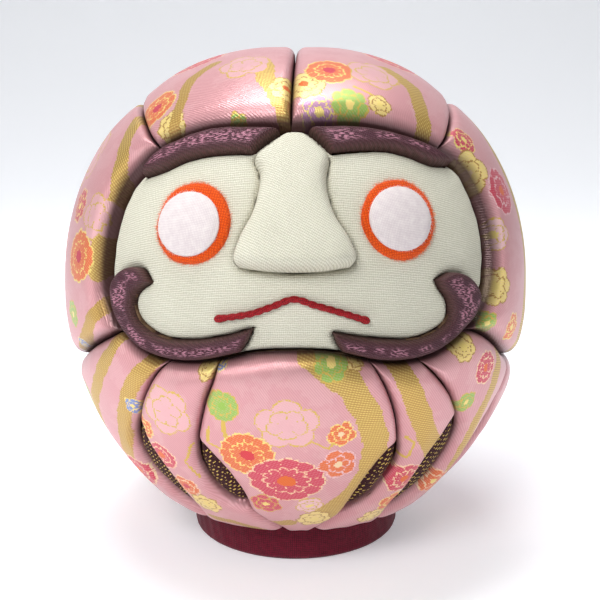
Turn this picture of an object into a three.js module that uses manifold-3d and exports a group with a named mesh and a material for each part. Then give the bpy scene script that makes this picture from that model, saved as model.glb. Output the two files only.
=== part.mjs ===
// A cloth-covered daruma doll in the kimekomi manner: a carved core whose grooves hold
// the tucked edges of many cloth panels, a raised face, and a round foot to stand on.
// Millimetres, +Z up, the face looks along -Y, the origin is the middle of the foot's underside.
import * as THREE from "three";
import { mergeVertices } from "three/addons/utils/BufferGeometryUtils.js";
import Module from "manifold-3d";

const wasm = await Module();
wasm.setup();

// ---------------------------------------------------------------- driving dimensions

const WIDTH = 93; // across the cheeks
const DEPTH = 90; // front to back, without the nose
const HEIGHT = 100; // foot to crown
const WAIST = 51; // height of the widest level
const BELLY = 52; // from the widest level down to where the underside would close
const CROWN_POWER = 2.2; // 2 is a plain ellipse, more is a squarer shoulder
const BELLY_POWER = 2.0;

const CLOTH = 1.0; // cloth with its wadding
const GAP = 0.3; // between a cloth and whatever it meets
const LAND_CLEARANCE = 0.5; // between the tucked edge of a cloth and the land that it wraps
const GROOVE = 3.2; // depth of the tucking grooves below the lands of the core
const TUCK = 3.2; // how far a cloth edge reaches down into its groove
const ROLL = 1.6; // width of the rounded edge of a panel
const ROLL_DROP = 0.9; // how far the edge of a panel rolls down
const NARROWEST = 0.8; // the width at which a pointed end is cut off
const SLIVER = 0.01; // facets thinner than this are left out

const FACE_RECESS = 3.0; // the face lies this far below the hood
const TRIM_RISE = 1.8; // the brows and the moustache stand this far off the face
const NOSE_BRIDGE = 1.2; // the nose's height off the face between the brows
const NOSE_TIP = 7.0; // and at its lower end
const INSERT_RECESS = 2.2; // the dark inserts lie this far below the robe
const INSERT_THICKNESS = 1.1;

const EYE_BACKING_RADIUS = 8.5;
const EYE_BACKING_THICKNESS = 1.2;
const EYE_DISC_RADIUS = 7.0;
const EYE_DISC_THICKNESS = 1.4;
const MOUTH_CORD_RADIUS = 0.7;

const FOOT_RADIUS = 21.5;
const FOOT_TOP = 8.3; // the core is cut flat here
const BAND_THICKNESS = 1.2;
const SOLE_THICKNESS = 1.0;

// ---------------------------------------------------------------- the body as a globe

// Places on the doll are [longitude, latitude] in degrees on a globe that is stretched to
// the body: longitude is 0 at the front and grows to +X, latitude is 0 at the waist.

const CENTRE = new THREE.Vector3(0, 0, WAIST);
const CROWN = HEIGHT - WAIST;

function globe([longitude, latitude]) {
  const lon = THREE.MathUtils.degToRad(longitude);
  const lat = THREE.MathUtils.degToRad(latitude);
  const level = Math.cos(lat);
  const half = latitude > 0 ? CROWN : BELLY;
  return new THREE.Vector3(
    (WIDTH / 2) * level * Math.sin(lon),
    (-DEPTH / 2) * level * Math.cos(lon),
    half * Math.sin(lat),
  );
}

// The radius of the body's skin along a direction from the centre.
function skinRadius(direction) {
  const around = Math.hypot(direction.x / (WIDTH / 2), direction.y / (DEPTH / 2));
  const above = direction.z > 0;
  const upright = Math.abs(direction.z) / (above ? CROWN : BELLY);
  const power = above ? CROWN_POWER : BELLY_POWER;
  return (around ** power + upright ** power) ** (-1 / power);
}

// The point that lies `rise` millimetres off the skin along a direction.
function offSkin(direction, rise) {
  const unit = direction.clone().normalize();
  return unit.clone().multiplyScalar(skinRadius(unit) + rise).add(CENTRE);
}

// ---------------------------------------------------------------- seam lines

function line(places) {
  return new THREE.CatmullRomCurve3(places.map(globe), false, "centripetal");
}

function chain(...curves) {
  const path = new THREE.CurvePath();
  curves.forEach((curve) => path.add(curve));
  return path;
}

class Reversed extends THREE.Curve {
  constructor(curve) {
    super();
    this.curve = curve;
  }

  getPoint(t) {
    return this.curve.getPointAt(1 - t);
  }
}

// A line that follows a latitude function between two longitudes.
class Parallel extends THREE.Curve {
  constructor(latitudeAt, from, to) {
    super();
    this.latitudeAt = latitudeAt;
    this.from = from;
    this.to = to;
  }

  getPoint(t) {
    const longitude = THREE.MathUtils.lerp(this.from, this.to, t);
    return globe([longitude, this.latitudeAt(longitude)]);
  }
}

class Point extends THREE.Curve {
  constructor(place) {
    super();
    this.place = globe(place);
  }

  getPoint() {
    return this.place.clone();
  }

  getPointAt() {
    return this.place.clone();
  }
}

// The neck groove between hood and robe: high under the cheeks, low at the back.
const NECK = new THREE.CatmullRomCurve3([
  [-255, -17], [-220, -19], [-180, -20], [-140, -19], [-105, -17], [-78, -13], [-59, -5], [-52, -1.8],
  [-47, 0.2], [-42, -1.9], [-36, -3.4], [-27, -3.3], [-18, -1.8], [-8, 0.4], [8, 0.4], [18, -2],
  [27, -3.3], [36, -2.7], [42, -0.9], [46, 0.7], [51, -0.6], [58, -4.2], [67, -9.4], [80, -13.5],
  [105, -17], [140, -19], [180, -20], [220, -19], [255, -17],
].map(([longitude, latitude]) => new THREE.Vector3(longitude, latitude, 0)), false, "centripetal");
const NECK_STEPS = NECK.getPoints(400);

function neckLatitude(longitude) {
  const after = NECK_STEPS.findIndex((step) => step.x >= longitude);
  const low = NECK_STEPS[Math.max(after - 1, 0)];
  const high = NECK_STEPS[Math.max(after, 1)];
  const share = (longitude - low.x) / (high.x - low.x);
  return THREE.MathUtils.lerp(low.y, high.y, share);
}

const HEM = -56;
const hemLatitude = () => HEM;

function onNeck(longitude) {
  return [longitude, neckLatitude(longitude)];
}

// The hood's opening round the face, from its middle at the top down each side.
const MIDDLE_TOP = [-1.5, 53.4];
const TEMPLE_LEFT = [-48.5, 43.7];
const TEMPLE_RIGHT = [52, 43.2];
const JAW_LEFT = onNeck(-47);
const JAW_RIGHT = onNeck(46);
const browLineLeft = line([TEMPLE_LEFT, [-42, 47.8], [-33, 50.9], [-23, 52.4], [-12, 53.1], MIDDLE_TOP]);
const browLineRight = line([MIDDLE_TOP, [12, 53.4], [24, 52.7], [36, 50.2], [45, 47], TEMPLE_RIGHT]);
const cheekLineLeft = line([
  TEMPLE_LEFT, [-52, 39.5], [-54.8, 35], [-56.2, 29.5], [-56, 22], [-55.2, 15], [-53.8, 9],
  [-50.5, 3.5], JAW_LEFT,
]);
const cheekLineRight = line([
  TEMPLE_RIGHT, [57, 40], [59.8, 36.5], [60.6, 31], [60.2, 23], [58.6, 15.5], [55.6, 9],
  [50.8, 4], JAW_RIGHT,
]);

// The hood's own seams: one over the crown, and one from each temple round to the nape.
const NAPE = 150;
const crownSeam = line([MIDDLE_TOP, [-1.6, 65], [0, 90], [180, 62], [180, 28], [180, 0], onNeck(180)]);
const templeSeamLeft = line([
  TEMPLE_LEFT, [-56, 45.6], [-65, 47.8], [-78, 49.5], [-95, 49.8], [-115, 45], [-133, 32],
  [-144, 12], onNeck(-NAPE),
]);
const templeSeamRight = line([
  TEMPLE_RIGHT, [56, 44], [63, 46], [73, 48.3], [91, 50.3], [112, 46.5], [132, 33],
  [144, 12], onNeck(NAPE),
]);

// Each robe seam runs from the neck to the point where it opens for a dark insert. It then
// splits into the edges of the two panels beside it, which meet again above the hem.
const ROBE_SEAMS = {
  back_left: {
    seam: [onNeck(-126), [-125, -22.5], [-123.5, -26]],
    west: [[-127, -30], [-129.5, -37], [-128.5, -45], [-123.5, -52]],
    east: [[-120, -31], [-118, -38], [-119, -45], [-123.5, -52]],
    hem: -123.5,
  },
  left_2: {
    seam: [onNeck(-78), [-76, -17], [-74.5, -21]],
    west: [[-78, -25], [-81, -32], [-79.5, -41], [-75, -48], [-71, -52]],
    east: [[-73.2, -25], [-71.5, -29], [-69, -35], [-67, -43], [-71, -52]],
    hem: -70,
  },
  left_1: {
    seam: [onNeck(-31.5), [-35, -6.7], [-40.3, -13.5], [-43, -18.3]],
    west: [[-46, -21.5], [-50, -28], [-51.3, -35.7], [-48.8, -41.5], [-46.5, -47.5], [-41, -52]],
    east: [[-42.6, -25], [-39.8, -32.5], [-38, -41], [-38.5, -48], [-41, -52]],
    hem: -39.5,
  },
  front_left: {
    seam: [onNeck(-18), [-19.3, -5.7], [-21.5, -10.4], [-23.5, -15.7], [-25.2, -20.3]],
    west: [[-26.2, -24.4], [-26.7, -28.7], [-25.9, -33], [-24.6, -37.7], [-21.4, -41.6], [-15.2, -43]],
    east: [[-22.8, -23.2], [-19, -28.2], [-15.8, -35.7], [-15.2, -43]],
    below: [[-13.5, -45.3], [-10.9, -47.9], [-7.9, -50.9]],
    hem: -4,
  },
  front_right: {
    seam: [onNeck(18), [20.6, -5.8], [22.9, -9.9], [25.1, -15], [27, -21.3]],
    west: [[25, -23], [21.6, -28], [18.6, -35.4], [16, -45.6]],
    east: [[28.1, -24.5], [28.5, -29.1], [26.9, -34.4], [24.6, -39.6], [20.9, -42.8], [16, -45.6]],
    below: [[13.7, -48.3], [11.4, -50.7]],
    hem: 6.5,
  },
  right_1: {
    seam: [onNeck(31), [35.7, -7.2], [40.8, -12.2], [44.7, -17.3]],
    west: [[41.8, -22.6], [38.6, -28], [36.8, -37.1], [35.2, -44], [37, -51]],
    east: [[48.4, -23.2], [49, -30.1], [47.8, -38.1], [43.5, -45.5], [37, -51]],
    hem: 36.5,
  },
  right_2: {
    seam: [onNeck(71), [68.4, -14.4], [66, -18.4]],
    west: [[63, -21.6], [60.3, -26], [58.6, -33], [58.8, -42], [64, -52]],
    east: [[69, -23], [71.6, -31], [71, -39], [68.5, -46], [64, -52]],
    hem: 64,
  },
  back_right: {
    seam: [onNeck(126), [125, -22.5], [123.5, -26]],
    west: [[120, -31], [118, -38], [119, -45], [123.5, -52]],
    east: [[127, -30], [129.5, -37], [128.5, -45], [123.5, -52]],
    hem: 123.5,
  },
};

// ---------------------------------------------------------------- patches and solids

// A Coons patch: the surface between a west and an east rail, bent so that it also follows
// the edges at its foot and its head. It gives a direction for each (s, t) from 0 to 1.
function patch({ west, east, foot, head }) {
  return (s, t) => {
    const rails = west.getPointAt(t).lerp(east.getPointAt(t), s);
    const footBend = foot.getPointAt(s).sub(foot.getPointAt(0).lerp(foot.getPointAt(1), s));
    const headBend = head.getPointAt(s).sub(head.getPointAt(0).lerp(head.getPointAt(1), s));
    return rails.addScaledVector(footBend, 1 - t).addScaledVector(headBend, t);
  };
}

// The length in millimetres of a patch's line on the skin, across (fixed t) or along (fixed s).
function skinLength(directionAt, from, to) {
  const steps = 6;
  let length = 0;
  let last = offSkin(directionAt(...from), 0);
  for (let step = 1; step <= steps; step += 1) {
    const share = step / steps;
    const s = THREE.MathUtils.lerp(from[0], to[0], share);
    const t = THREE.MathUtils.lerp(from[1], to[1], share);
    const next = offSkin(directionAt(s, t), 0);
    length += next.distanceTo(last);
    last = next;
  }
  return length;
}

// Steps from 0 to 1, none longer than a given length, with a narrow one at each end for
// the rolled edge.
function edgedSteps(length, longest) {
  const count = Math.ceil(length / longest);
  const narrow = Math.min(ROLL / length, 0.5 / count);
  const inner = Array.from({ length: count - 1 }, (_, index) => (index + 1) / count);
  return [0, narrow, ...inner, 1 - narrow, 1];
}

// A patch with every edge brought in by a margin, and the steps to draw it with. A pointed
// end is cut back to where the panel is still a little wider than both margins. All the
// layers over one patch share their inner steps, so that their walls run side by side.
function inset(directionAt, margin, longest) {
  const widthAt = (t) => skinLength(directionAt, [0, t], [1, t]);
  const wideEnough = (t) => widthAt(t) > 2 * margin + NARROWEST;
  const along = skinLength(directionAt, [0.5, 0], [0.5, 1]);
  const search = 0.01;
  let low = margin / along;
  let high = 1 - low;
  while (!wideEnough(low)) low += search;
  while (!wideEnough(high)) high -= search;
  const nearest = 0.3 * ROLL / along;
  const rows = edgedSteps(along, longest).filter((t) => t > low + nearest && t < high - nearest);
  return {
    directions: (s, t) => {
      const share = margin / widthAt(t);
      return directionAt(THREE.MathUtils.lerp(share, 1 - share, s), t);
    },
    sSteps: edgedSteps(widthAt(0.5), longest),
    tSteps: [low, ...rows, high],
    onRim: (s, t) => s === 0 || s === 1 || t === low || t === high,
  };
}

function signedVolume(positions, triangles) {
  let volume = 0;
  const corner = (index) => new THREE.Vector3().fromArray(positions, 3 * index);
  for (let index = 0; index < triangles.length; index += 3) {
    const [a, b, c] = [0, 1, 2].map((side) => corner(triangles[index + side]));
    volume += a.dot(b.cross(c)) / 6;
  }
  return volume;
}

// A closed solid between an outer and an inner surface over the same (s, t) steps.
function slab(outer, inner, sSteps, tSteps) {
  const columns = sSteps.length;
  const rows = tSteps.length;
  const positions = [];
  const triangles = [];
  [outer, inner].forEach((surface) => {
    tSteps.forEach((t) => sSteps.forEach((s) => positions.push(...surface(s, t).toArray())));
  });
  const at = (layer, column, row) => layer * rows * columns + row * columns + column;
  const quad = (a, b, c, d) => triangles.push(a, b, c, a, c, d);
  for (let row = 0; row < rows - 1; row += 1) {
    for (let column = 0; column < columns - 1; column += 1) {
      quad(at(0, column, row), at(0, column + 1, row), at(0, column + 1, row + 1), at(0, column, row + 1));
      quad(at(1, column, row + 1), at(1, column + 1, row + 1), at(1, column + 1, row), at(1, column, row));
    }
  }
  for (let column = 0; column < columns - 1; column += 1) {
    quad(at(1, column, 0), at(1, column + 1, 0), at(0, column + 1, 0), at(0, column, 0));
    quad(at(0, column, rows - 1), at(0, column + 1, rows - 1), at(1, column + 1, rows - 1), at(1, column, rows - 1));
  }
  for (let row = 0; row < rows - 1; row += 1) {
    quad(at(0, 0, row), at(0, 0, row + 1), at(1, 0, row + 1), at(1, 0, row));
    quad(at(1, columns - 1, row), at(1, columns - 1, row + 1), at(0, columns - 1, row + 1), at(0, columns - 1, row));
  }
  if (signedVolume(positions, triangles) < 0) triangles.reverse();
  return new wasm.Manifold(new wasm.Mesh({
    numProp: 3,
    vertProperties: new Float32Array(positions),
    triVerts: new Uint32Array(triangles),
  }));
}

function fromGeometry(source) {
  const bare = source.clone();
  bare.deleteAttribute("normal");
  bare.deleteAttribute("uv");
  const merged = mergeVertices(bare, 1e-4);
  return new wasm.Manifold(new wasm.Mesh({
    numProp: 3,
    vertProperties: new Float32Array(merged.attributes.position.array),
    triVerts: new Uint32Array(merged.index.array),
  }));
}

// Slivers left by the cuts are closed up, by far less than the gap between two pieces.
function toGeometry(solid) {
  const mesh = solid.simplify(SLIVER).getMesh();
  const geometry = new THREE.BufferGeometry();
  geometry.setAttribute("position", new THREE.Float32BufferAttribute(mesh.vertProperties, 3));
  geometry.setIndex([...mesh.triVerts]);
  return geometry;
}

// A prism over a patch, from one height off the skin to another, with its margin.
function prism(directionAt, margin, low, high, longest) {
  const { directions, sSteps, tSteps } = inset(directionAt, margin, longest);
  return slab(
    (s, t) => offSkin(directions(s, t), high(s, t)),
    (s, t) => offSkin(directions(s, t), low),
    sSteps,
    tSteps,
  );
}

// One cloth: a tray whose rim is tucked down all round, with a rounded edge. `rise` gives
// the height of its outer face off the skin.
function cloth(directionAt, rise, deepest, longest) {
  const { directions, sSteps, tSteps, onRim } = inset(directionAt, GAP, longest);
  const outer = slab(
    (s, t) => offSkin(directions(s, t), rise(s, t) - (onRim(s, t) ? ROLL_DROP : 0)),
    (s, t) => offSkin(directions(s, t), deepest),
    sSteps,
    tSteps,
  );
  const underside = (s, t) => rise(s, t) - CLOTH;
  return outer.subtract(prism(directionAt, GAP + CLOTH, deepest - CLOTH, underside, longest));
}

// All the space over a patch, from a floor outwards.
function room(directionAt, floor, longest) {
  return prism(directionAt, 0, floor, () => NOSE_TIP + FACE_RECESS, longest);
}

// The raised part of the core that fills a cloth.
function land(directionAt, rise, floor, longest) {
  const top = (s, t) => rise(s, t) - CLOTH - GAP;
  return prism(directionAt, GAP + CLOTH + LAND_CLEARANCE, floor - GROOVE, top, longest);
}

// ---------------------------------------------------------------- the cloth panels

const level = (height) => () => height;
const ON_SKIN = level(0);
const FACE_LEVEL = -FACE_RECESS;
const TRIM_LEVEL = FACE_LEVEL + TRIM_RISE;
const BODY_FLOOR = -(CLOTH + GAP + GROOVE);
const FACE_FLOOR = FACE_LEVEL + BODY_FLOOR;

function seamEdge(name, side) {
  const { seam, below = [], hem } = ROBE_SEAMS[name];
  const edge = ROBE_SEAMS[name][side];
  const opening = [seam[seam.length - 1], ...edge];
  const closing = [edge[edge.length - 1], ...below, [hem, HEM]];
  return new Reversed(chain(line(seam), line(opening), line(closing)));
}

function robePatch(westSeam, eastSeam, turn = 0) {
  const west = ROBE_SEAMS[westSeam];
  const east = ROBE_SEAMS[eastSeam];
  return patch({
    west: seamEdge(westSeam, "east"),
    east: seamEdge(eastSeam, "west"),
    foot: new Parallel(hemLatitude, west.hem, east.hem + turn),
    head: new Parallel(neckLatitude, west.seam[0][0], east.seam[0][0] + turn),
  });
}

const ROBE_PANELS = {
  robe_left_3: ["back_left", "left_2"],
  robe_left_2: ["left_2", "left_1"],
  robe_left_1: ["left_1", "front_left"],
  robe_front: ["front_left", "front_right"],
  robe_right_1: ["front_right", "right_1"],
  robe_right_2: ["right_1", "right_2"],
  robe_right_3: ["right_2", "back_right"],
  robe_back: ["back_right", "back_left", 360],
};

const HOOD_PATCHES = {
  hood_top_left: patch({
    west: templeSeamLeft,
    east: crownSeam,
    foot: browLineLeft,
    head: new Parallel(neckLatitude, -NAPE, -180),
  }),
  hood_top_right: patch({
    west: crownSeam,
    east: templeSeamRight,
    foot: browLineRight,
    head: new Parallel(neckLatitude, 180, NAPE),
  }),
  hood_side_left: patch({
    west: templeSeamLeft,
    east: new Parallel(neckLatitude, JAW_LEFT[0], -NAPE),
    foot: cheekLineLeft,
    head: new Point(onNeck(-NAPE)),
  }),
  hood_side_right: patch({
    west: new Parallel(neckLatitude, JAW_RIGHT[0], NAPE),
    east: templeSeamRight,
    foot: new Reversed(cheekLineRight),
    head: new Point(onNeck(NAPE)),
  }),
};

const facePatch = patch({
  west: line([[-45, 4.5], [-46.2, 8], [-50, 12], [-54, 16], [-55, 23], [-55, 29.5], [-53.2, 35.5]]),
  east: line([[43.5, 4.5], [45, 8.5], [50, 13], [56.8, 17], [58.9, 24], [59.2, 31], [57.8, 36.6]]),
  foot: line([
    [-45, 4.5], [-39, 0.2], [-30, -0.8], [-20, 0.6], [-12, 1.3], [0, 1.3], [12, 1.5],
    [22, 0.4], [30, -0.2], [38, 0.6], [43.5, 4.5],
  ]),
  head: line([
    [-53.2, 35.5], [-44, 40.5], [-33, 46], [-20, 47.8], [0, 49.5], [20, 48.5], [33, 46.6],
    [46, 42.2], [57.8, 36.6],
  ]),
});

const nosePatch = patch({
  west: line([
    [-13.4, 18.6], [-14.3, 20.6], [-13.6, 26], [-11.6, 31], [-10.6, 36], [-10.8, 40.5],
    [-13.2, 44.4], [-9.8, 48], [-4.8, 51.5],
  ]),
  east: line([
    [13.1, 18.6], [14.4, 20.8], [13.4, 25.5], [10.9, 30.5], [9.5, 35.5], [9.6, 40],
    [11.2, 44.8], [8.4, 48.4], [4.2, 51.8],
  ]),
  foot: line([[-13.4, 18.6], [-6, 18], [6, 18], [13.1, 18.6]]),
  head: line([[-4.8, 51.5], [0, 52], [4.2, 51.8]]),
});

const TRIM_PATCHES = {
  brow_left: patch({
    west: line([[-50, 36], [-42.5, 38.4], [-36, 41.6], [-29, 43.6], [-20.5, 44.7], [-14.4, 44.9]]),
    east: line([[-50, 36], [-48.6, 41.6], [-40.8, 46.6], [-31.5, 50.3], [-18, 51.8], [-5.4, 52]]),
    foot: new Point([-50, 36]),
    head: line([[-14.4, 44.9], [-10.8, 48.2], [-5.4, 52]]),
  }),
  brow_right: patch({
    west: line([[54.5, 38.2], [50.6, 42.2], [44, 45.8], [35, 49.1], [22, 51.7], [4.9, 52.3]]),
    east: line([[54.5, 38.2], [46.4, 39.6], [39.5, 42.4], [32, 44.7], [22, 45.3], [12.2, 45]]),
    foot: new Point([54.5, 38.2]),
    head: line([[4.9, 52.3], [9.2, 48.8], [12.2, 45]]),
  }),
  moustache_left: patch({
    west: line([
      [-36.3, 13.4], [-40.2, 16], [-45.4, 15.2], [-49.6, 11.4], [-49.6, 6.6], [-46.2, 2.2],
      [-41, -0.9], [-33, -2.2], [-23.5, -1.6], [-12.4, 0.9],
    ]),
    east: line([
      [-36.3, 13.4], [-39.2, 12], [-41.4, 10], [-41.8, 7.6], [-40.6, 4.9], [-37.6, 3],
      [-33, 1.9], [-26, 2.4], [-17.5, 4.2], [-9.6, 6.8],
    ]),
    foot: new Point([-36.3, 13.4]),
    head: line([[-12.4, 0.8], [-10.8, 3.8], [-9.6, 6.8]]),
  }),
  moustache_right: patch({
    west: line([
      [35.3, 14.4], [36.8, 12.2], [38.8, 9.6], [39.4, 6.8], [38.6, 4.6], [35.6, 2.9],
      [30, 2.1], [22.8, 3], [15.5, 4.3], [8.7, 5.9],
    ]),
    east: line([
      [35.3, 14.4], [40.4, 15.2], [46.4, 13.2], [50.4, 8.6], [48.6, 4.8], [44, 2],
      [37.6, -0.7], [30, -1.8], [21, -1.3], [10.8, 1],
    ]),
    foot: new Point([35.3, 14.4]),
    head: line([[8.7, 5.9], [9.4, 3.4], [10.8, 1]]),
  }),
};

// The nose rises from the bridge to the tip and is rounded from side to side.
function noseRise(s, t) {
  const crest = THREE.MathUtils.lerp(NOSE_TIP, NOSE_BRIDGE, t ** 0.8);
  const round = 1 - 0.55 * Math.abs(2 * s - 1) ** 2.4;
  return FACE_LEVEL + crest * round;
}

// ---------------------------------------------------------------- materials

function finish(color, roughness, metalness = 0) {
  return () => new THREE.MeshStandardMaterial({ color, roughness, metalness });
}

const brocade = finish(0xdca6ac, 0.45);
const faceCrepe = finish(0xe4e1d2, 0.85);
const purpleCrepe = finish(0x4e2f3a, 0.75);
const insertBrocade = finish(0x331a20, 0.7);
const orangeFelt = finish(0xd9480f, 0.9);
const whiteCrepe = finish(0xefe7e4, 0.85);
const redCord = finish(0xa50f1e, 0.6);
const footCrepe = finish(0x7a0230, 0.75);
const woodPaste = finish(0xb99a72, 0.95);
const soleFelt = finish(0x5a1024, 0.95);

const doll = new THREE.Group();

function addPiece(name, geometry, makeMaterial) {
  const mesh = new THREE.Mesh(geometry, makeMaterial());
  mesh.name = name;
  doll.add(mesh);
}

// ---------------------------------------------------------------- robe and hood

const PANEL_STEP = 12; // the longest facet of a big panel
const TRIM_STEP = 5; // of a small one
const OPENING_STEP = 8; // and of the hood's opening
const INSERT_LOW = -(INSERT_RECESS + INSERT_THICKNESS);
const lands = [];
const territories = [];

for (const [name, [westSeam, eastSeam, turn]] of Object.entries(ROBE_PANELS)) {
  const directions = robePatch(westSeam, eastSeam, turn);
  addPiece(name, toGeometry(cloth(directions, ON_SKIN, -TUCK, PANEL_STEP)), brocade);
  lands.push(land(directions, ON_SKIN, BODY_FLOOR, PANEL_STEP));
  territories.push(prism(directions, 0, 2 * INSERT_LOW, ON_SKIN, PANEL_STEP));
}

for (const [name, directions] of Object.entries(HOOD_PATCHES)) {
  addPiece(name, toGeometry(cloth(directions, ON_SKIN, -TUCK, PANEL_STEP)), brocade);
  lands.push(land(directions, ON_SKIN, BODY_FLOOR, PANEL_STEP));
}

// ---------------------------------------------------------------- dark inserts

function cutAll(solid, cutters) {
  return cutters.reduce((rest, cutter) => rest.subtract(cutter), solid);
}

// The biggest of a solid's separate bodies.
function mainBody(solid) {
  return solid.decompose().sort((a, b) => b.volume() - a.volume())[0];
}

// An insert fills what the two panels beside it leave open.
for (const [name, { seam, west, east }] of Object.entries(ROBE_SEAMS)) {
  const top = seam[seam.length - 1];
  const bottom = west[west.length - 1];
  const opening = patch({
    west: new Reversed(line([top, ...west])),
    east: new Reversed(line([top, ...east])),
    foot: new Point(bottom),
    head: new Point(top),
  });
  const plate = prism(opening, 0, INSERT_LOW, level(-INSERT_RECESS), TRIM_STEP);
  addPiece(`insert_${name}`, toGeometry(mainBody(cutAll(plate, territories))), insertBrocade);
}

// ---------------------------------------------------------------- face, nose, brows, moustache

const noseRoom = room(nosePatch, FACE_FLOOR - GROOVE, TRIM_STEP);
const trimRooms = Object.values(TRIM_PATCHES).map(
  (directions) => room(directions, FACE_FLOOR - GROOVE, TRIM_STEP),
);
const faceCuts = [noseRoom, ...trimRooms];

const faceLevel = level(FACE_LEVEL);
const faceCloth = cutAll(
  cloth(facePatch, faceLevel, FACE_LEVEL - TUCK, PANEL_STEP),
  faceCuts,
);
addPiece("face_cover", toGeometry(mainBody(faceCloth)), faceCrepe);

const noseCloth = cloth(nosePatch, noseRise, FACE_LEVEL - TUCK, TRIM_STEP);
addPiece("nose_cover", toGeometry(noseCloth), faceCrepe);

for (const [name, directions] of Object.entries(TRIM_PATCHES)) {
  const trim = cloth(directions, level(TRIM_LEVEL), FACE_LEVEL - TUCK, TRIM_STEP);
  addPiece(name, toGeometry(trim), purpleCrepe);
}

const faceLands = [
  cutAll(land(facePatch, faceLevel, FACE_FLOOR, PANEL_STEP), faceCuts),
  land(nosePatch, noseRise, FACE_FLOOR, TRIM_STEP),
  ...Object.values(TRIM_PATCHES).map(
    (directions) => land(directions, level(TRIM_LEVEL), FACE_FLOOR, TRIM_STEP),
  ),
];

// ---------------------------------------------------------------- eyes and mouth

// A round pad that lies on the body at a place, from one height off the skin to another,
// with a softened rim.
function pad(place, radius, low, high) {
  const middle = globe(place).normalize();
  const east = new THREE.Vector3(0, 0, 1).cross(middle).normalize();
  const north = middle.clone().cross(east);
  const turns = 20;
  const reach = skinRadius(middle);
  const steps = Array.from({ length: turns }, (_, index) => (2 * Math.PI * index) / turns);
  const rings = [[0.5, high], [0.86, high], [1, high - 0.35 * (high - low)], [1, low], [0.5, low]];
  const at = (angle, share, height) => {
    const swing = (share * radius) / reach;
    const direction = middle.clone()
      .addScaledVector(east, swing * Math.cos(angle))
      .addScaledVector(north, swing * Math.sin(angle));
    return offSkin(direction, height).toArray();
  };
  const positions = rings.flatMap(([share, height]) => steps.flatMap((angle) => at(angle, share, height)));
  const topMiddle = rings.length * turns;
  positions.push(...offSkin(middle, high).toArray(), ...offSkin(middle, low).toArray());
  const triangles = [];
  for (let index = 0; index < turns; index += 1) {
    const next = (index + 1) % turns;
    triangles.push(topMiddle, index, next);
    for (let ring = 0; ring < rings.length - 1; ring += 1) {
      const [near, far] = [ring * turns, (ring + 1) * turns];
      triangles.push(near + index, far + index, far + next, near + index, far + next, near + next);
    }
    const last = (rings.length - 1) * turns;
    triangles.push(topMiddle + 1, last + next, last + index);
  }
  const geometry = new THREE.BufferGeometry();
  geometry.setAttribute("position", new THREE.Float32BufferAttribute(positions, 3));
  geometry.setIndex(triangles);
  return geometry;
}

// Each eye's felt stands clear of the nose's edge, which is at this longitude at its height.
const EYES = {
  left: { side: -1, noseEdge: 12.95, clearance: 0.6, latitude: 27.5 },
  right: { side: 1, noseEdge: 11.9, clearance: 2.1, latitude: 28.4 },
};

// The longitude that lies a number of millimetres further round from another.
function furtherRound(longitude, latitude, distance) {
  const middle = globe([longitude, latitude]).normalize();
  const radius = skinRadius(middle) * Math.hypot(middle.x, middle.y);
  return longitude + THREE.MathUtils.radToDeg(distance / radius);
}

const BACKING_LOW = FACE_LEVEL + GAP;
const BACKING_HIGH = BACKING_LOW + EYE_BACKING_THICKNESS;
const DISC_LOW = BACKING_HIGH + GAP;

for (const [name, { side, noseEdge, clearance, latitude }] of Object.entries(EYES)) {
  const fromNose = clearance + EYE_BACKING_RADIUS;
  const place = [side * furtherRound(noseEdge, latitude, fromNose), latitude];
  const backing = pad(place, EYE_BACKING_RADIUS, BACKING_LOW, BACKING_HIGH);
  const disc = pad(place, EYE_DISC_RADIUS, DISC_LOW, DISC_LOW + EYE_DISC_THICKNESS);
  addPiece(`eye_backing_${name}`, backing, orangeFelt);
  addPiece(`eye_disc_${name}`, disc, whiteCrepe);
}

// The mouth is a short cord glued on the face all along its line.
const MOUTH_PLACES = [
  [-19.2, 7.7], [-14.8, 8.6], [-10.2, 9.6], [-5.6, 11.2], [-0.3, 13], [4.8, 11.6],
  [10.5, 9.9], [14, 8.7], [17.7, 7.3],
];
const mouthHeight = FACE_LEVEL + GAP + MOUTH_CORD_RADIUS;
const mouthLine = new THREE.CatmullRomCurve3(
  MOUTH_PLACES.map((place) => offSkin(globe(place), mouthHeight)),
  false,
  "centripetal",
);
const cordSection = new THREE.Shape();
cordSection.absarc(0, 0, MOUTH_CORD_RADIUS, 0, 2 * Math.PI);
const mouthCord = new THREE.ExtrudeGeometry(cordSection, {
  steps: 18,
  curveSegments: 4,
  extrudePath: mouthLine,
});
addPiece("mouth_cord", toGeometry(fromGeometry(mouthCord)), redCord);

// ---------------------------------------------------------------- core

function skinSolid(rise) {
  const ball = new THREE.SphereGeometry(1, 28, 16).rotateX(Math.PI / 2);
  const places = ball.attributes.position;
  for (let index = 0; index < places.count; index += 1) {
    const place = offSkin(new THREE.Vector3().fromBufferAttribute(places, index), rise);
    places.setXYZ(index, place.x, place.y, place.z);
  }
  return fromGeometry(ball);
}

const openingPatch = patch({
  west: new Reversed(cheekLineLeft),
  east: new Reversed(cheekLineRight),
  foot: new Parallel(neckLatitude, JAW_LEFT[0], JAW_RIGHT[0]),
  head: chain(browLineLeft, browLineRight),
});
const faceOpening = room(openingPatch, FACE_FLOOR, OPENING_STEP);
const addAll = (solid, pieces) => pieces.reduce((sum, piece) => sum.add(piece), solid);
const carved = addAll(addAll(skinSolid(BODY_FLOOR), lands).subtract(faceOpening), faceLands);
const belowCut = new THREE.BoxGeometry(2 * WIDTH, 2 * DEPTH, 2 * WAIST).translate(0, 0, FOOT_TOP - WAIST);
addPiece("body_core", toGeometry(carved.subtract(fromGeometry(belowCut))), woodPaste);

// ---------------------------------------------------------------- foot

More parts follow.
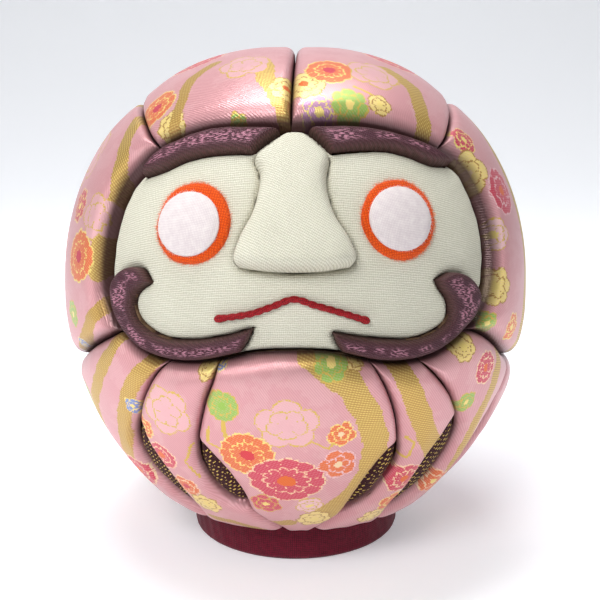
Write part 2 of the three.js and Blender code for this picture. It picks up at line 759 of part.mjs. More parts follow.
// Whatever stands under the robe is cut to clear it.
const robeRoom = skinSolid(GAP).subtract(
  fromGeometry(new THREE.BoxGeometry(2 * WIDTH, 2 * DEPTH, 2 * WAIST).translate(0, 0, FOOT_TOP - GAP - WAIST)),
);

function turned(profile, segments = 40) {
  const points = profile.map(([radius, height]) => new THREE.Vector2(radius, height));
  return fromGeometry(new THREE.LatheGeometry(points, segments).rotateX(Math.PI / 2));
}

const bandInside = FOOT_RADIUS - BAND_THICKNESS;
const BAND_EDGE = 1.0;
const soleRadius = bandInside - GAP;
const foot = {
  foot_band: [turned([
    [bandInside, 0], [FOOT_RADIUS - BAND_EDGE, 0], [FOOT_RADIUS - 0.3 * BAND_EDGE, 0.3 * BAND_EDGE],
    [FOOT_RADIUS, BAND_EDGE], [FOOT_RADIUS, FOOT_TOP - GAP], [bandInside, FOOT_TOP - GAP], [bandInside, 0],
  ]), footCrepe],
  foot_block: [turned([
    [0, SOLE_THICKNESS + GAP], [soleRadius, SOLE_THICKNESS + GAP],
    [soleRadius, FOOT_TOP - GAP], [0, FOOT_TOP - GAP],
  ]), woodPaste],
  foot_sole: [turned([[0, 0], [soleRadius, 0], [soleRadius, SOLE_THICKNESS], [0, SOLE_THICKNESS]]), soleFelt],
};
for (const [name, [solid, makeMaterial]] of Object.entries(foot)) {
  addPiece(name, toGeometry(solid.subtract(robeRoom)), makeMaterial);
}

export default doll;
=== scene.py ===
# %% [markdown]
# # A cloth-covered daruma doll
# The doll is made the kimekomi way. A core of pressed wood paste is carved with narrow grooves,
# cloth is stretched over each field between them, and every cloth's edges are pushed down into
# the grooves with a thin blade. So each cloth is a piece of its own: puffy in the middle,
# rounded at its rim, and gone into a dark line where it meets the next one.
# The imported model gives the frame: the core, the foot and the room that each cloth may take.

# %% Load the frame
import math

import bpy
import numpy as np
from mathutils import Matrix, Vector


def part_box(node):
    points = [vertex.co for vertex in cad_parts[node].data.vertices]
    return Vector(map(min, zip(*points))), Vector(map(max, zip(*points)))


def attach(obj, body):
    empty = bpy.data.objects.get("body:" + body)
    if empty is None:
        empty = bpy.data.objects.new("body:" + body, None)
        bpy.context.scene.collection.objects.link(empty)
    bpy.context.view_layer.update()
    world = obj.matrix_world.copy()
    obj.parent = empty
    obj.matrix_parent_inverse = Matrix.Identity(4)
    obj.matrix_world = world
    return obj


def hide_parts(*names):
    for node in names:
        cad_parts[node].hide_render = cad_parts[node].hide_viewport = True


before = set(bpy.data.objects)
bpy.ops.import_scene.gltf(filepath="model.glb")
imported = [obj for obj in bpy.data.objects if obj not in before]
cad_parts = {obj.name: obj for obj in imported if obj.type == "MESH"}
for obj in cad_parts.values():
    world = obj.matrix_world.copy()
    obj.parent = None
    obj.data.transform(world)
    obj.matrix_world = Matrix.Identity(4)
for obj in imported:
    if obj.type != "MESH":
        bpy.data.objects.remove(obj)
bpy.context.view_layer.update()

# %% [markdown]
# ## The body as a globe
# Every seam on the doll is drawn as longitude and latitude on a globe that is stretched to the
# body. Longitude 0 is the front and grows to +X, latitude 0 is the widest level. It could be
# drawn in plain coordinates, but on a globe a seam stays on the skin by itself. The frame's
# crown gives the scale, so the cloths follow the core if its size changes.

# %% Sizes of the body
MILLIMETRE = 0.001
NOMINAL_CROWN = 0.09981
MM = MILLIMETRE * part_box("hood_top_left")[1].z / NOMINAL_CROWN
HALF_WIDTH = 46.5
HALF_DEPTH = 45.0
WAIST = 51.0
CROWN = 49.0
BELLY = 52.0
CROWN_POWER = 2.2
BELLY_POWER = 2.0
CENTRE = np.array([0.0, 0.0, WAIST])
FACE_LEVEL = -3.0
print("one drawn millimetre is", round(MM, 6), "m")


# %% Globe and skin
def globe(places):
    """[longitude, latitude] in degrees to vectors from the centre: the unit sphere's point,
    stretched by the half width, the half depth, and the crown or belly height."""
    angles = np.radians(np.asarray(places, float))
    lon, lat = angles[..., 0], angles[..., 1]
    half = np.where(lat > 0, CROWN, BELLY)
    level = np.cos(lat)
    return np.stack(
        [HALF_WIDTH * level * np.sin(lon), -HALF_DEPTH * level * np.cos(lon), half * np.sin(lat)], -1
    )


def unit(vectors):
    return vectors / np.maximum(np.linalg.norm(vectors, axis=-1, keepdims=True), 1e-12)


def off_skin(directions, rise):
    """The point `rise` off the skin along each direction. The skin is where the sum of the
    level and upright shares, each to a power, is one."""
    d = unit(directions)
    around = np.hypot(d[..., 0] / HALF_WIDTH, d[..., 1] / HALF_DEPTH)
    upright = np.abs(d[..., 2]) / np.where(d[..., 2] > 0, CROWN, BELLY)
    power = np.where(d[..., 2] > 0, CROWN_POWER, BELLY_POWER)
    radius = (around**power + upright**power) ** (-1 / power)
    return d * (radius + rise)[..., None] + CENTRE


def from_centre(points):
    return np.linalg.norm(points - CENTRE, axis=-1)


CHART_RADIUS = 47.5


def flat_chart(points, middle):
    """Cloth laid flat: how far (x, y) in millimetres each point lies from the panel's middle,
    going round the globe by the shortest way."""
    c = unit(globe(middle))
    east = unit(np.cross([0.0, 0.0, 1.0], c))
    north = np.cross(c, east)
    d = unit(points)
    x, y, z = d @ east, d @ north, d @ c
    sideways = np.hypot(x, y)
    stretch = CHART_RADIUS * np.arctan2(sideways, z) / np.maximum(sideways, 1e-9)
    return np.stack([x * stretch, y * stretch], -1)


# %% [markdown]
# ## Seam lines
# A seam is a smooth line through a few places. A centripetal Catmull-Rom curve is used because
# it passes through every place without loops, however unevenly they are spaced. Each line is
# kept as many points at equal steps, so that halfway along a line is halfway along the thread.

# %% Smooth lines
LINE_STEPS = 400
CURVE_STEPS = 24


def evenly(points):
    """The same line with its points at equal steps of length."""
    reach = np.concatenate([[0.0], np.cumsum(np.linalg.norm(np.diff(points, axis=0), axis=1))])
    steps = np.linspace(0.0, reach[-1], LINE_STEPS + 1)
    return np.stack([np.interp(steps, reach, axis) for axis in points.T], -1)


def smooth(points):
    """Centripetal Catmull-Rom: between two points runs the cubic whose end tangents come from
    the neighbours, with the time between points the square root of their distance."""
    p = np.asarray(points, float)
    p = np.vstack([2 * p[0] - p[1], p, 2 * p[-1] - p[-2]])
    dt = np.sqrt(np.linalg.norm(np.diff(p, axis=0), axis=1))[:, None]
    p0, p1, p2, p3 = p[:-3], p[1:-2], p[2:-1], p[3:]
    d0, d1, d2 = dt[:-2], dt[1:-1], dt[2:]
    t1 = ((p1 - p0) / d0 - (p2 - p0) / (d0 + d1) + (p2 - p1) / d1) * d1
    t2 = ((p2 - p1) / d1 - (p3 - p1) / (d1 + d2) + (p3 - p2) / d2) * d1
    u = np.linspace(0.0, 1.0, CURVE_STEPS, endpoint=False)[None, :, None]
    square = -3 * p1 + 3 * p2 - 2 * t1 - t2
    cube = 2 * p1 - 2 * p2 + t1 + t2
    spans = p1[:, None] + t1[:, None] * u + square[:, None] * u**2 + cube[:, None] * u**3
    return np.vstack([spans.reshape(-1, p.shape[1]), p2[-1:]])


def line(places):
    return evenly(smooth(globe(places)))


def chain(*lines):
    return evenly(np.vstack([lines[0]] + [each[1:] for each in lines[1:]]))


def along(one_line, share):
    """The line's point at a share of its length, for a whole array of shares."""
    steps = np.linspace(0.0, 1.0, len(one_line))
    return np.stack([np.interp(share, steps, axis) for axis in one_line.T], -1)


def parallel(latitude_at, start, end):
    """A line that keeps to a latitude, or to a function of it, between two longitudes."""
    lon = np.linspace(start, end, LINE_STEPS + 1)
    return evenly(globe(np.stack([lon, latitude_at(lon)], -1)))


def point(place):
    return np.repeat(globe([place]), 2, axis=0)


# %% [markdown]
# ## Where the cloths meet
# A groove runs all round the neck. It rises and falls with the chin, the cheeks and the nape, so
# it is one smooth line of latitudes that every cloth above and below it reads. The hood's opening
# is four lines between the temples, the jaw and the middle of the forehead. The hood's own seams
# start at the temples and at the forehead and run over the crown to the nape.

# %% The neck groove, the hem and the hood's opening
NECK = smooth([
    [-255, -17], [-220, -19], [-180, -20], [-140, -19], [-105, -17], [-78, -13], [-59, -5], [-52, -1.8],
    [-47, 0.2], [-42, -1.9], [-36, -3.4], [-27, -3.3], [-18, -1.8], [-8, 0.4], [8, 0.4], [18, -2],
    [27, -3.3], [36, -2.7], [42, -0.9], [46, 0.7], [51, -0.6], [58, -4.2], [67, -9.4], [80, -13.5],
    [105, -17], [140, -19], [180, -20], [220, -19], [255, -17],
])
HEM = -56.0


def neck_latitude(lon):
    return np.interp(lon, NECK[:, 0], NECK[:, 1])


def hem_latitude(lon):
    return np.full_like(lon, HEM)


def on_neck(lon):
    return [lon, float(neck_latitude(lon))]


MIDDLE_TOP = [-1.5, 53.4]
TEMPLE_LEFT, TEMPLE_RIGHT = [-48.5, 43.7], [52, 43.2]
JAW_LEFT, JAW_RIGHT = on_neck(-47), on_neck(46)
NAPE = 150
brow_line_left = line([TEMPLE_LEFT, [-42, 47.8], [-33, 50.9], [-23, 52.4], [-12, 53.1], MIDDLE_TOP])
brow_line_right = line([MIDDLE_TOP, [12, 53.4], [24, 52.7], [36, 50.2], [45, 47], TEMPLE_RIGHT])
cheek_line_left = line([
    TEMPLE_LEFT, [-52, 39.5], [-54.8, 35], [-56.2, 29.5], [-56, 22], [-55.2, 15], [-53.8, 9],
    [-50.5, 3.5], JAW_LEFT,
])
cheek_line_right = line([
    TEMPLE_RIGHT, [57, 40], [59.8, 36.5], [60.6, 31], [60.2, 23], [58.6, 15.5], [55.6, 9],
    [50.8, 4], JAW_RIGHT,
])
crown_seam = line([MIDDLE_TOP, [-1.6, 65], [0, 90], [180, 62], [180, 28], [180, 0], on_neck(180)])
temple_seam_left = line([
    TEMPLE_LEFT, [-56, 45.6], [-65, 47.8], [-78, 49.5], [-95, 49.8], [-115, 45], [-133, 32],
    [-144, 12], on_neck(-NAPE),
])
temple_seam_right = line([
    TEMPLE_RIGHT, [56, 44], [63, 46], [73, 48.3], [91, 50.3], [112, 46.5], [132, 33],
    [144, 12], on_neck(NAPE),
])
print("neck latitude at the front:", round(float(neck_latitude(0.0)), 2))

# %% [markdown]
# Each robe seam runs down from the neck and opens round a dark insert. The two edges meet
# again lower down and go on to the hem as one seam.

# %% Robe seams
ROBE_SEAMS = {
    "back_left": dict(
        seam=[on_neck(-126), [-125, -22.5], [-123.5, -26]],
        west=[[-127, -30], [-129.5, -37], [-128.5, -45], [-123.5, -52]],
        east=[[-120, -31], [-118, -38], [-119, -45], [-123.5, -52]], hem=-123.5),
    "left_2": dict(
        seam=[on_neck(-78), [-76, -17], [-74.5, -21]],
        west=[[-78, -25], [-81, -32], [-79.5, -41], [-75, -48], [-71, -52]],
        east=[[-73.2, -25], [-71.5, -29], [-69, -35], [-67, -43], [-71, -52]], hem=-70),
    "left_1": dict(
        seam=[on_neck(-31.5), [-35, -6.7], [-40.3, -13.5], [-43, -18.3]],
        west=[[-46, -21.5], [-50, -28], [-51.3, -35.7], [-48.8, -41.5], [-46.5, -47.5], [-41, -52]],
        east=[[-42.6, -25], [-39.8, -32.5], [-38, -41], [-38.5, -48], [-41, -52]], hem=-39.5),
    "front_left": dict(
        seam=[on_neck(-18), [-19.3, -5.7], [-21.5, -10.4], [-23.5, -15.7], [-25.2, -20.3]],
        west=[[-26.2, -24.4], [-26.7, -28.7], [-25.9, -33], [-24.2, -37.4], [-20.4, -40.8], [-15.2, -42.2]],
        east=[[-22.8, -23.2], [-19, -28.2], [-15.8, -35.7], [-15.2, -43]],
        below=[[-13.5, -45.3], [-10.9, -47.9], [-7.9, -50.9]], hem=-4),
    "front_right": dict(
        seam=[on_neck(18), [20.6, -5.8], [22.9, -9.9], [25.1, -15], [27, -21.3]],
        west=[[25, -23], [21.6, -28], [18.6, -35.4], [16, -45.6]],
        east=[[28.1, -24.5], [28.5, -29.1], [26.9, -34.4], [24.6, -39.6], [20.9, -42.8], [16, -45.6]],
        below=[[13.7, -48.3], [11.4, -50.7]], hem=6.5),
    "right_1": dict(
        seam=[on_neck(31), [35.7, -7.2], [40.8, -12.2], [44.7, -17.3]],
        west=[[41.8, -22.6], [38.6, -28], [36.8, -37.1], [35.2, -44], [37, -51]],
        east=[[48.4, -23.2], [49, -30.1], [47.8, -38.1], [43.5, -45.5], [37, -51]], hem=36.5),
    "right_2": dict(
        seam=[on_neck(71), [68.4, -14.4], [66, -18.4]],
        west=[[63, -21.6], [60.3, -26], [58.6, -33], [58.8, -42], [64, -52]],
        east=[[69, -23], [71.6, -31], [71, -39], [68.5, -46], [64, -52]], hem=64),
    "back_right": dict(
        seam=[on_neck(126), [125, -22.5], [123.5, -26]],
        west=[[120, -31], [118, -38], [119, -45], [123.5, -52]],
        east=[[127, -30], [129.5, -37], [128.5, -45], [123.5, -52]], hem=123.5),
}


def seam_edge(name, side):
    """One side of a robe seam from the hem up: the closing, the opening, then the seam."""
    parts = ROBE_SEAMS[name]
    edge = parts[side]
    opening = [parts["seam"][-1]] + edge
    closing = [edge[-1]] + parts.get("below", []) + [[parts["hem"], HEM]]
    return chain(line(parts["seam"]), line(opening), line(closing))[::-1]


def robe_patch(west_seam, east_seam, turn=0):
    west, east = ROBE_SEAMS[west_seam], ROBE_SEAMS[east_seam]
    return dict(
        west=seam_edge(west_seam, "east"),
        east=seam_edge(east_seam, "west"),
        foot=parallel(hem_latitude, west["hem"], east["hem"] + turn),
        head=parallel(neck_latitude, west["seam"][0][0], east["seam"][0][0] + turn),
    )


print("robe seams:", len(ROBE_SEAMS))

# %% [markdown]
# ## One cloth
# A panel is the surface between four seam lines, a Coons patch. Its height off the skin is
# full in the middle and falls over its rim like a quarter of an ellipse, so that the cloth
# dives into the groove. It could be a flat patch with a Bevel, but the quarter ellipse ends
# upright, as a cloth pushed down with a blade does. Small ripples from a few sine waves give
# the wadding its hand-made unevenness.


# %% Surface helpers
def patch_directions(patch, s, t):
    """A Coons patch: the mix of its west and east rails, plus how far the foot and the head
    edges bend away from straight lines between their own ends."""
    s, t = s[..., None], t[..., None]
    rails = along(patch["west"], t[..., 0]) * (1 - s) + along(patch["east"], t[..., 0]) * s
    bends = 0.0
    for name, share in (("foot", 1 - t), ("head", t)):
        edge = patch[name]
        bends = bends + (along(edge, s[..., 0]) - edge[0] * (1 - s) - edge[-1] * s) * share
    return rails + bends


def near_edge(points, edge):
    """The distance from each grid point to a line: the nearest of the line's points is found
    first, then the nearest place on the two short stretches that meet there."""
    flat = points.reshape(-1, points.shape[-1])
    squares = (edge**2).sum(1)[None] - 2 * flat @ edge.T
    nearest = squares.argmin(1)
    best = np.full(len(flat), np.inf)
    for step in (-1, 1):
        start = edge[nearest]
        stretch = edge[np.clip(nearest + step, 0, len(edge) - 1)] - start
        share = ((flat - start) * stretch).sum(1) / np.maximum((stretch**2).sum(1), 1e-12)
        foot = start + stretch * np.clip(share, 0, 1)[:, None]
        best = np.minimum(best, np.linalg.norm(flat - foot, axis=1))
    return best.reshape(points.shape[:-1])


WAVES = 6


def ripples(points, wavelength, seed):
    """Soft unevenness between about -1 and 1: twice the mean of a few sine waves that run in
    random directions, each near the given wavelength."""
    rng = np.random.default_rng(seed)
    total = 0.0
    for _ in range(WAVES):
        way = unit(rng.normal(size=3)) * 2 * math.pi / (wavelength * rng.uniform(0.7, 1.4))
        total = total + np.sin(points @ way + rng.uniform(0, 2 * math.pi))
    return 2 * total / WAVES


def rolled(distance, radius, power):
    """How far a rim has risen: 0 at the edge and 1 from `radius` on, along a quarter of a
    superellipse."""
    left = 1 - np.clip(distance / radius, 0, 1)
    return (1 - left**power) ** (1 / power)


SEAM_GAP = 0.06
RIM_STEPS = 12


def length_of(points):
    return np.linalg.norm(np.diff(points, axis=0), axis=1).sum()


def panel_grid(patch, spacing, cut=(0.0, 0.0)):
    """Directions on a grid whose steps get shorter towards every edge, by a cosine. `cut` leaves
    away a share at the foot and at the head, where a panel comes to a point."""
    lengths = {name: length_of(off_skin(edge, 0)) for name, edge in patch.items()}
    halfway = [off_skin(along(patch[side], 0.5), 0) for side in ("west", "east")]
    middle = np.linalg.norm(halfway[0] - halfway[1])
    across = int(max(lengths["foot"], lengths["head"], middle) / spacing) + RIM_STEPS
    upward = int(max(lengths["west"], lengths["east"]) / spacing) + RIM_STEPS
    inset = SEAM_GAP / max(middle, 1.0)
    s = inset + (1 - 2 * inset) * (1 - np.cos(np.linspace(0, math.pi, across))) / 2
    t = cut[0] + (1 - cut[0] - cut[1]) * (1 - np.cos(np.linspace(0, math.pi, upward))) / 2
    s, t = np.meshgrid(s, t)
    return s, t, patch_directions(patch, s, t)


# %% [markdown]
# ## From arrays to meshes
# A cloth is an open grid that gets its thickness from a Solidify modifier. A pad or a cord is a
# pile of rings, closed at both ends. Faces are written with from_pydata, which takes them all at
# once, and the flat chart of the cloth becomes its UV map, in millimetres. What a finish needs
# to know of each point, such as how close the rim is, is written as an attribute.


# %% Mesh builders
def new_object(name, points, faces, uv=None, attributes=None):
    mesh = bpy.data.meshes.new(name)
    mesh.from_pydata(points.reshape(-1, 3) * MM, [], faces)
    corners = np.zeros(len(mesh.loops), np.int32)
    mesh.loops.foreach_get("vertex_index", corners)
    if uv is not None:
        layer = mesh.uv_layers.new(name="cloth")
        layer.data.foreach_set("uv", uv.reshape(-1, 2)[corners].astype(np.float32).ravel())
    for key, values in (attributes or {}).items():
        field = mesh.attributes.new(key, "FLOAT", "POINT")
        field.data.foreach_set("value", np.asarray(values, np.float32).ravel())
    mesh.shade_smooth()
    mesh.update()
    piece = bpy.data.objects.new(name, mesh)
    bpy.context.scene.collection.objects.link(piece)
    return piece


def grid_faces(rows, columns, wrap=False):
    """Quads between neighbouring rows and columns; with wrap the last column joins the first."""
    last = columns if wrap else columns - 1
    row, column = np.meshgrid(np.arange(rows - 1), np.arange(last), indexing="ij")
    right = (column + 1) % columns
    near, far = row * columns, (row + 1) * columns
    return np.stack([near + column, near + right, far + right, far + column], -1).reshape(-1, 4)


THICKNESS = 0.35


def cloth_piece(name, points, uv, attributes, cut_out):
    """An open grid, turned to face outwards, with a real thickness inwards. Cells whose four
    corners are all cut out are left away, and so are the points that nothing uses then."""
    faces = grid_faces(*points.shape[:2])
    faces = faces[~cut_out.ravel()[faces].all(1)]
    used, faces = np.unique(faces, return_inverse=True)
    faces = faces.reshape(-1, 4)
    flat = points.reshape(-1, 3)[used]
    uv = uv.reshape(-1, 2)[used]
    attributes = {key: np.asarray(values).ravel()[used] for key, values in attributes.items()}
    a, b, c, d = (flat[faces[:, k]] for k in range(4))
    outward = (np.cross(c - a, d - b) * ((a + c) / 2 - CENTRE)).sum()
    if outward < 0:
        faces = faces[:, ::-1]
    piece = new_object(name, flat, faces.tolist(), uv, attributes)
    wall = piece.modifiers.new("thickness", "SOLIDIFY")
    wall.thickness = THICKNESS * MM
    wall.offset = -1
    return piece


def closed_rings(name, rings, uv):
    """A body of rings whose first and last ring are closed by a fan to their middle."""
    count, turns = rings.shape[:2]
    faces = grid_faces(count, turns, wrap=True)
    poles = np.stack([rings[0].mean(0), rings[-1].mean(0)])
    points = np.vstack([rings.reshape(-1, 3), poles])
    start = np.arange(turns)
    following = (start + 1) % turns
    first = np.stack([np.full(turns, count * turns), following, start], -1)
    last_row = (count - 1) * turns
    last = np.stack([np.full(turns, count * turns + 1), last_row + start, last_row + following], -1)
    all_faces = faces.tolist() + first.tolist() + last.tolist()
    uv = np.vstack([uv.reshape(-1, 2), uv[0].mean(0), uv[-1].mean(0)])
    return face_out(new_object(name, points, all_faces, uv))


def face_out(piece):
    """Turns a closed mesh's faces round if its volume comes out negative."""
    mesh = piece.data
    mesh.calc_loop_triangles()
    triangles = np.zeros(len(mesh.loop_triangles) * 3, np.int32)
    mesh.loop_triangles.foreach_get("vertices", triangles)
    places = np.zeros(len(mesh.vertices) * 3, np.float32)
    mesh.vertices.foreach_get("co", places)
    a, b, c = places.reshape(-1, 3)[triangles.reshape(-1, 3)].transpose(1, 0, 2)
    if (a * np.cross(b, c)).sum() < 0:
        mesh.flip_normals()
    return piece


# %% [markdown]
# ## Raising a panel
# The same recipe makes every cloth: lay out the grid, measure how far each point is from the
# seams, and turn that distance into height. Each edge may roll with its own radius and depth,
# so the hood can hang thick over the face while a robe seam stays a narrow groove.


# %% Raise a panel from the skin
SWELL_REACH = 6.0
RIPPLE_LENGTH = 15.0
PUCKER_LENGTH = 3.4
PUCKER_REACH = 2.2


def raise_panel(patch, edges, top=0.0, puff=0.3, spacing=0.8, seed=0, cut=(0.0, 0.0), ripple=0.1):
    """Height = top + swell + pucker - drop. The drops of the edges are joined as a fourth-power
    sum, which rounds the corners. The swell grows with the distance to the nearest seam, and the
    pucker fades with it. Each edge is (width, depth, power) of its roll."""
    s, t, directions = panel_grid(patch, spacing, cut)
    skin = off_skin(directions, 0)
    nearest = np.full(s.shape, np.inf)
    drops = 0.0
    for name, (radius, drop, power) in edges.items():
        distance = np.maximum(near_edge(skin, off_skin(patch[name], 0)) - SEAM_GAP, 0)
        nearest = np.minimum(nearest, distance)
        drops = drops + (drop * (1 - rolled(distance, radius, power))) ** 4
    swell = puff * (1 - np.exp(-((nearest / SWELL_REACH) ** 2)))
    swell = swell + 0.5 * ripple * ripples(skin, RIPPLE_LENGTH, seed)
    fading = np.exp(-nearest / PUCKER_REACH) * np.clip(nearest, 0, 1)
    pucker = ripple * ripples(skin, PUCKER_LENGTH, seed + 1) * fading
    base = top(s, t) if callable(top) else top
    rise = base + swell + pucker - drops**0.25
    return off_skin(directions, rise), directions, nearest


# %% [markdown]
# ## A cloth on its node
# Every cloth takes the place of its node in the frame, which is hidden, and rides on the root
# body. The size of the piece that was cut from the roll is worked out too: the smallest rectangle
# round its chart, and an allowance for the tucked edges.

# %% Declare a stretched cloth
RIM_REACH = 0.7
TUCK_ALLOWANCE = 5.0
pieces = {}
middles = {}
flat_sizes = {}


def flat_size(chart):
    """Width and length of the chart's rectangle, turned to the chart's own main directions."""
    spread = chart.reshape(-1, 2) - chart.reshape(-1, 2).mean(0)
    turned = spread @ np.linalg.svd(spread, full_matrices=False)[2].T
    length, width = np.ptp(turned, axis=0) + TUCK_ALLOWANCE
    return width, length


def declare(name, node):
    if node:
        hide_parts(node)
    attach(pieces[name], "root")


def stretched_cloth(node, grid, middle, tucked=(0.9, 2.4), cut_out=None, name=None):
    """The mesh and chart of a cloth, and its flat area: the modelled surface let back by its
    stretch. The groove share grows from 0 to 1 as the cloth goes down from the skin into a groove:
    tucked is the depth where that starts and the depth it takes. The finishes darken by it with
    painted shade, standing in for the shade that falls in the groove."""
    points, directions, nearest = grid
    name = name or node + "_cloth"
    chart = flat_chart(directions, middle)
    below = from_centre(off_skin(directions, 0)) - from_centre(points)
    groove_shade = np.clip((below - tucked[0]) / tucked[1], 0, 1)
    if cut_out is None:
        cut_out = np.zeros(nearest.shape, bool)
    # These two fields carry painted shade: a little by closeness to the rim, a lot by the groove share.
    fields = {"rim": np.exp(-nearest / RIM_REACH), "groove_shade": groove_shade}
    pieces[name] = cloth_piece(name, points, chart, fields, cut_out)
    width, length = flat_size(chart)
    declare(name, node)
    middles[name] = middle
    flat_sizes[name] = (round(width, 1), round(length, 1))


# %% [markdown]
# ## The robe
# Eight cloths go round the robe. Their upper edges bulge out under the chin and the cheeks,
# because the wadding is pushed up there, so the edge at the neck rolls with a bigger radius.

# %% Robe cloths
SEAM = (2.3, 2.7, 2.4)
NECK_ROLL = (4.6, 3.6, 2.3)
HEM_ROLL = (2.4, 2.4, 2.0)
ROBE_PANELS = {
    "robe_left_3": ("back_left", "left_2", 0, [-100, -38]),
    "robe_left_2": ("left_2", "left_1", 0, [-56, -28]),
    "robe_left_1": ("left_1", "front_left", 0, [-30, -26]),
    "robe_front": ("front_left", "front_right", 0, [0, -25]),
    "robe_right_1": ("front_right", "right_1", 0, [31, -26]),
    "robe_right_2": ("right_1", "right_2", 0, [52, -28]),
    "robe_right_3": ("right_2", "back_right", 0, [98, -38]),
    "robe_back": ("back_right", "back_left", 360, [180, -38]),
}
for seed, (node, (west, east, turn, middle)) in enumerate(ROBE_PANELS.items()):
    edges = {"west": SEAM, "east": SEAM, "foot": HEM_ROLL, "head": NECK_ROLL}
    grid = raise_panel(robe_patch(west, east, turn), edges, puff=0.55, spacing=0.7, seed=10 * seed)
    stretched_cloth(node, grid, middle)
print("robe cloths, flat sizes in mm:", flat_sizes)

# %% [markdown]
# ## The hood
# Two cloths cover the crown and two the sides. The edge round the face is a thick roll that
# hangs over the sunken face. The dark of its wall going down to the brows is painted shade,
# which starts at a shallower depth on the hood than on the robe.

# %% Hood cloths
OPENING_ROLL = (5.2, 5.4, 2.7)
WHOLE = (0, 0)
POINTED_HEAD = (0, 0.006)
HOOD_PANELS = {
    "hood_top_left": (
        dict(west=temple_seam_left, east=crown_seam, foot=brow_line_left,
             head=parallel(neck_latitude, -NAPE, -180)),
        dict(west=SEAM, east=SEAM, foot=OPENING_ROLL, head=SEAM), WHOLE, [-170, 75]),
    "hood_top_right": (
        dict(west=crown_seam, east=temple_seam_right, foot=brow_line_right,
             head=parallel(neck_latitude, 180, NAPE)),
        dict(west=SEAM, east=SEAM, foot=OPENING_ROLL, head=SEAM), WHOLE, [170, 75]),
    "hood_side_left": (
        dict(west=temple_seam_left, east=parallel(neck_latitude, JAW_LEFT[0], -NAPE),
             foot=cheek_line_left, head=point(on_neck(-NAPE))),
        dict(west=SEAM, east=NECK_ROLL, foot=OPENING_ROLL), POINTED_HEAD, [-85, 12]),
    "hood_side_right": (
        dict(west=parallel(neck_latitude, JAW_RIGHT[0], NAPE), east=temple_seam_right,
             foot=cheek_line_right[::-1], head=point(on_neck(NAPE))),
        dict(west=NECK_ROLL, east=SEAM, foot=OPENING_ROLL), POINTED_HEAD, [85, 12]),
}
for seed, (node, (patch, edges, cut, middle)) in enumerate(HOOD_PANELS.items()):
    grid = raise_panel(patch, edges, puff=0.5, spacing=0.75, seed=100 + 10 * seed, cut=cut)
    # The hood's painted groove shade starts shallower, so the wall of its roll reads dark.
    stretched_cloth(node, grid, middle, tucked=(0.3, 1.7))
print("hood cloths:", {name: flat_sizes[name + "_cloth"] for name in HOOD_PANELS})

# %% [markdown]
# ## The dark inserts
# Where a robe seam opens, a strip of dark cloth lies deeper than the robe. Its edges go under
# the robe's rolled edges, so it only needs a low crown of its own.

# %% Insert cloths
INSERT_TOP = -1.5
INSERT_EDGE = (2.4, 1.5, 2.0)
INSERT_MIDDLE_LATITUDE = -34
POINTED_BOTH_ENDS = (0.01, 0.01)
for seed, (name, parts) in enumerate(ROBE_SEAMS.items()):
    top, bottom = parts["seam"][-1], parts["west"][-1]
    patch = dict(
        west=line([top] + parts["west"])[::-1], east=line([top] + parts["east"])[::-1],
        foot=point(bottom), head=point(top),
    )
    edges = {"west": INSERT_EDGE, "east": INSERT_EDGE}
    grid = raise_panel(
        patch, edges, top=INSERT_TOP, puff=0.3, spacing=0.5, seed=200 + seed, cut=POINTED_BOTH_ENDS
    )
    middle = [float(np.mean([parts["west"][2][0], parts["east"][2][0]])), INSERT_MIDDLE_LATITUDE]
    stretched_cloth(f"insert_{name}", grid, middle)
print("inserts:", len(ROBE_SEAMS))

# %% [markdown]
# ## The face
# The face is one cloth inside the hood's opening. It sinks into grooves round the nose, the
# brows and the moustache, which are cloths of their own. For each of these the distance to
# its outline is measured on the flat chart, counted as nothing inside, and the face drops to
# the groove's floor at the outline. Inside the outline it is cut away, as a real one is trimmed.

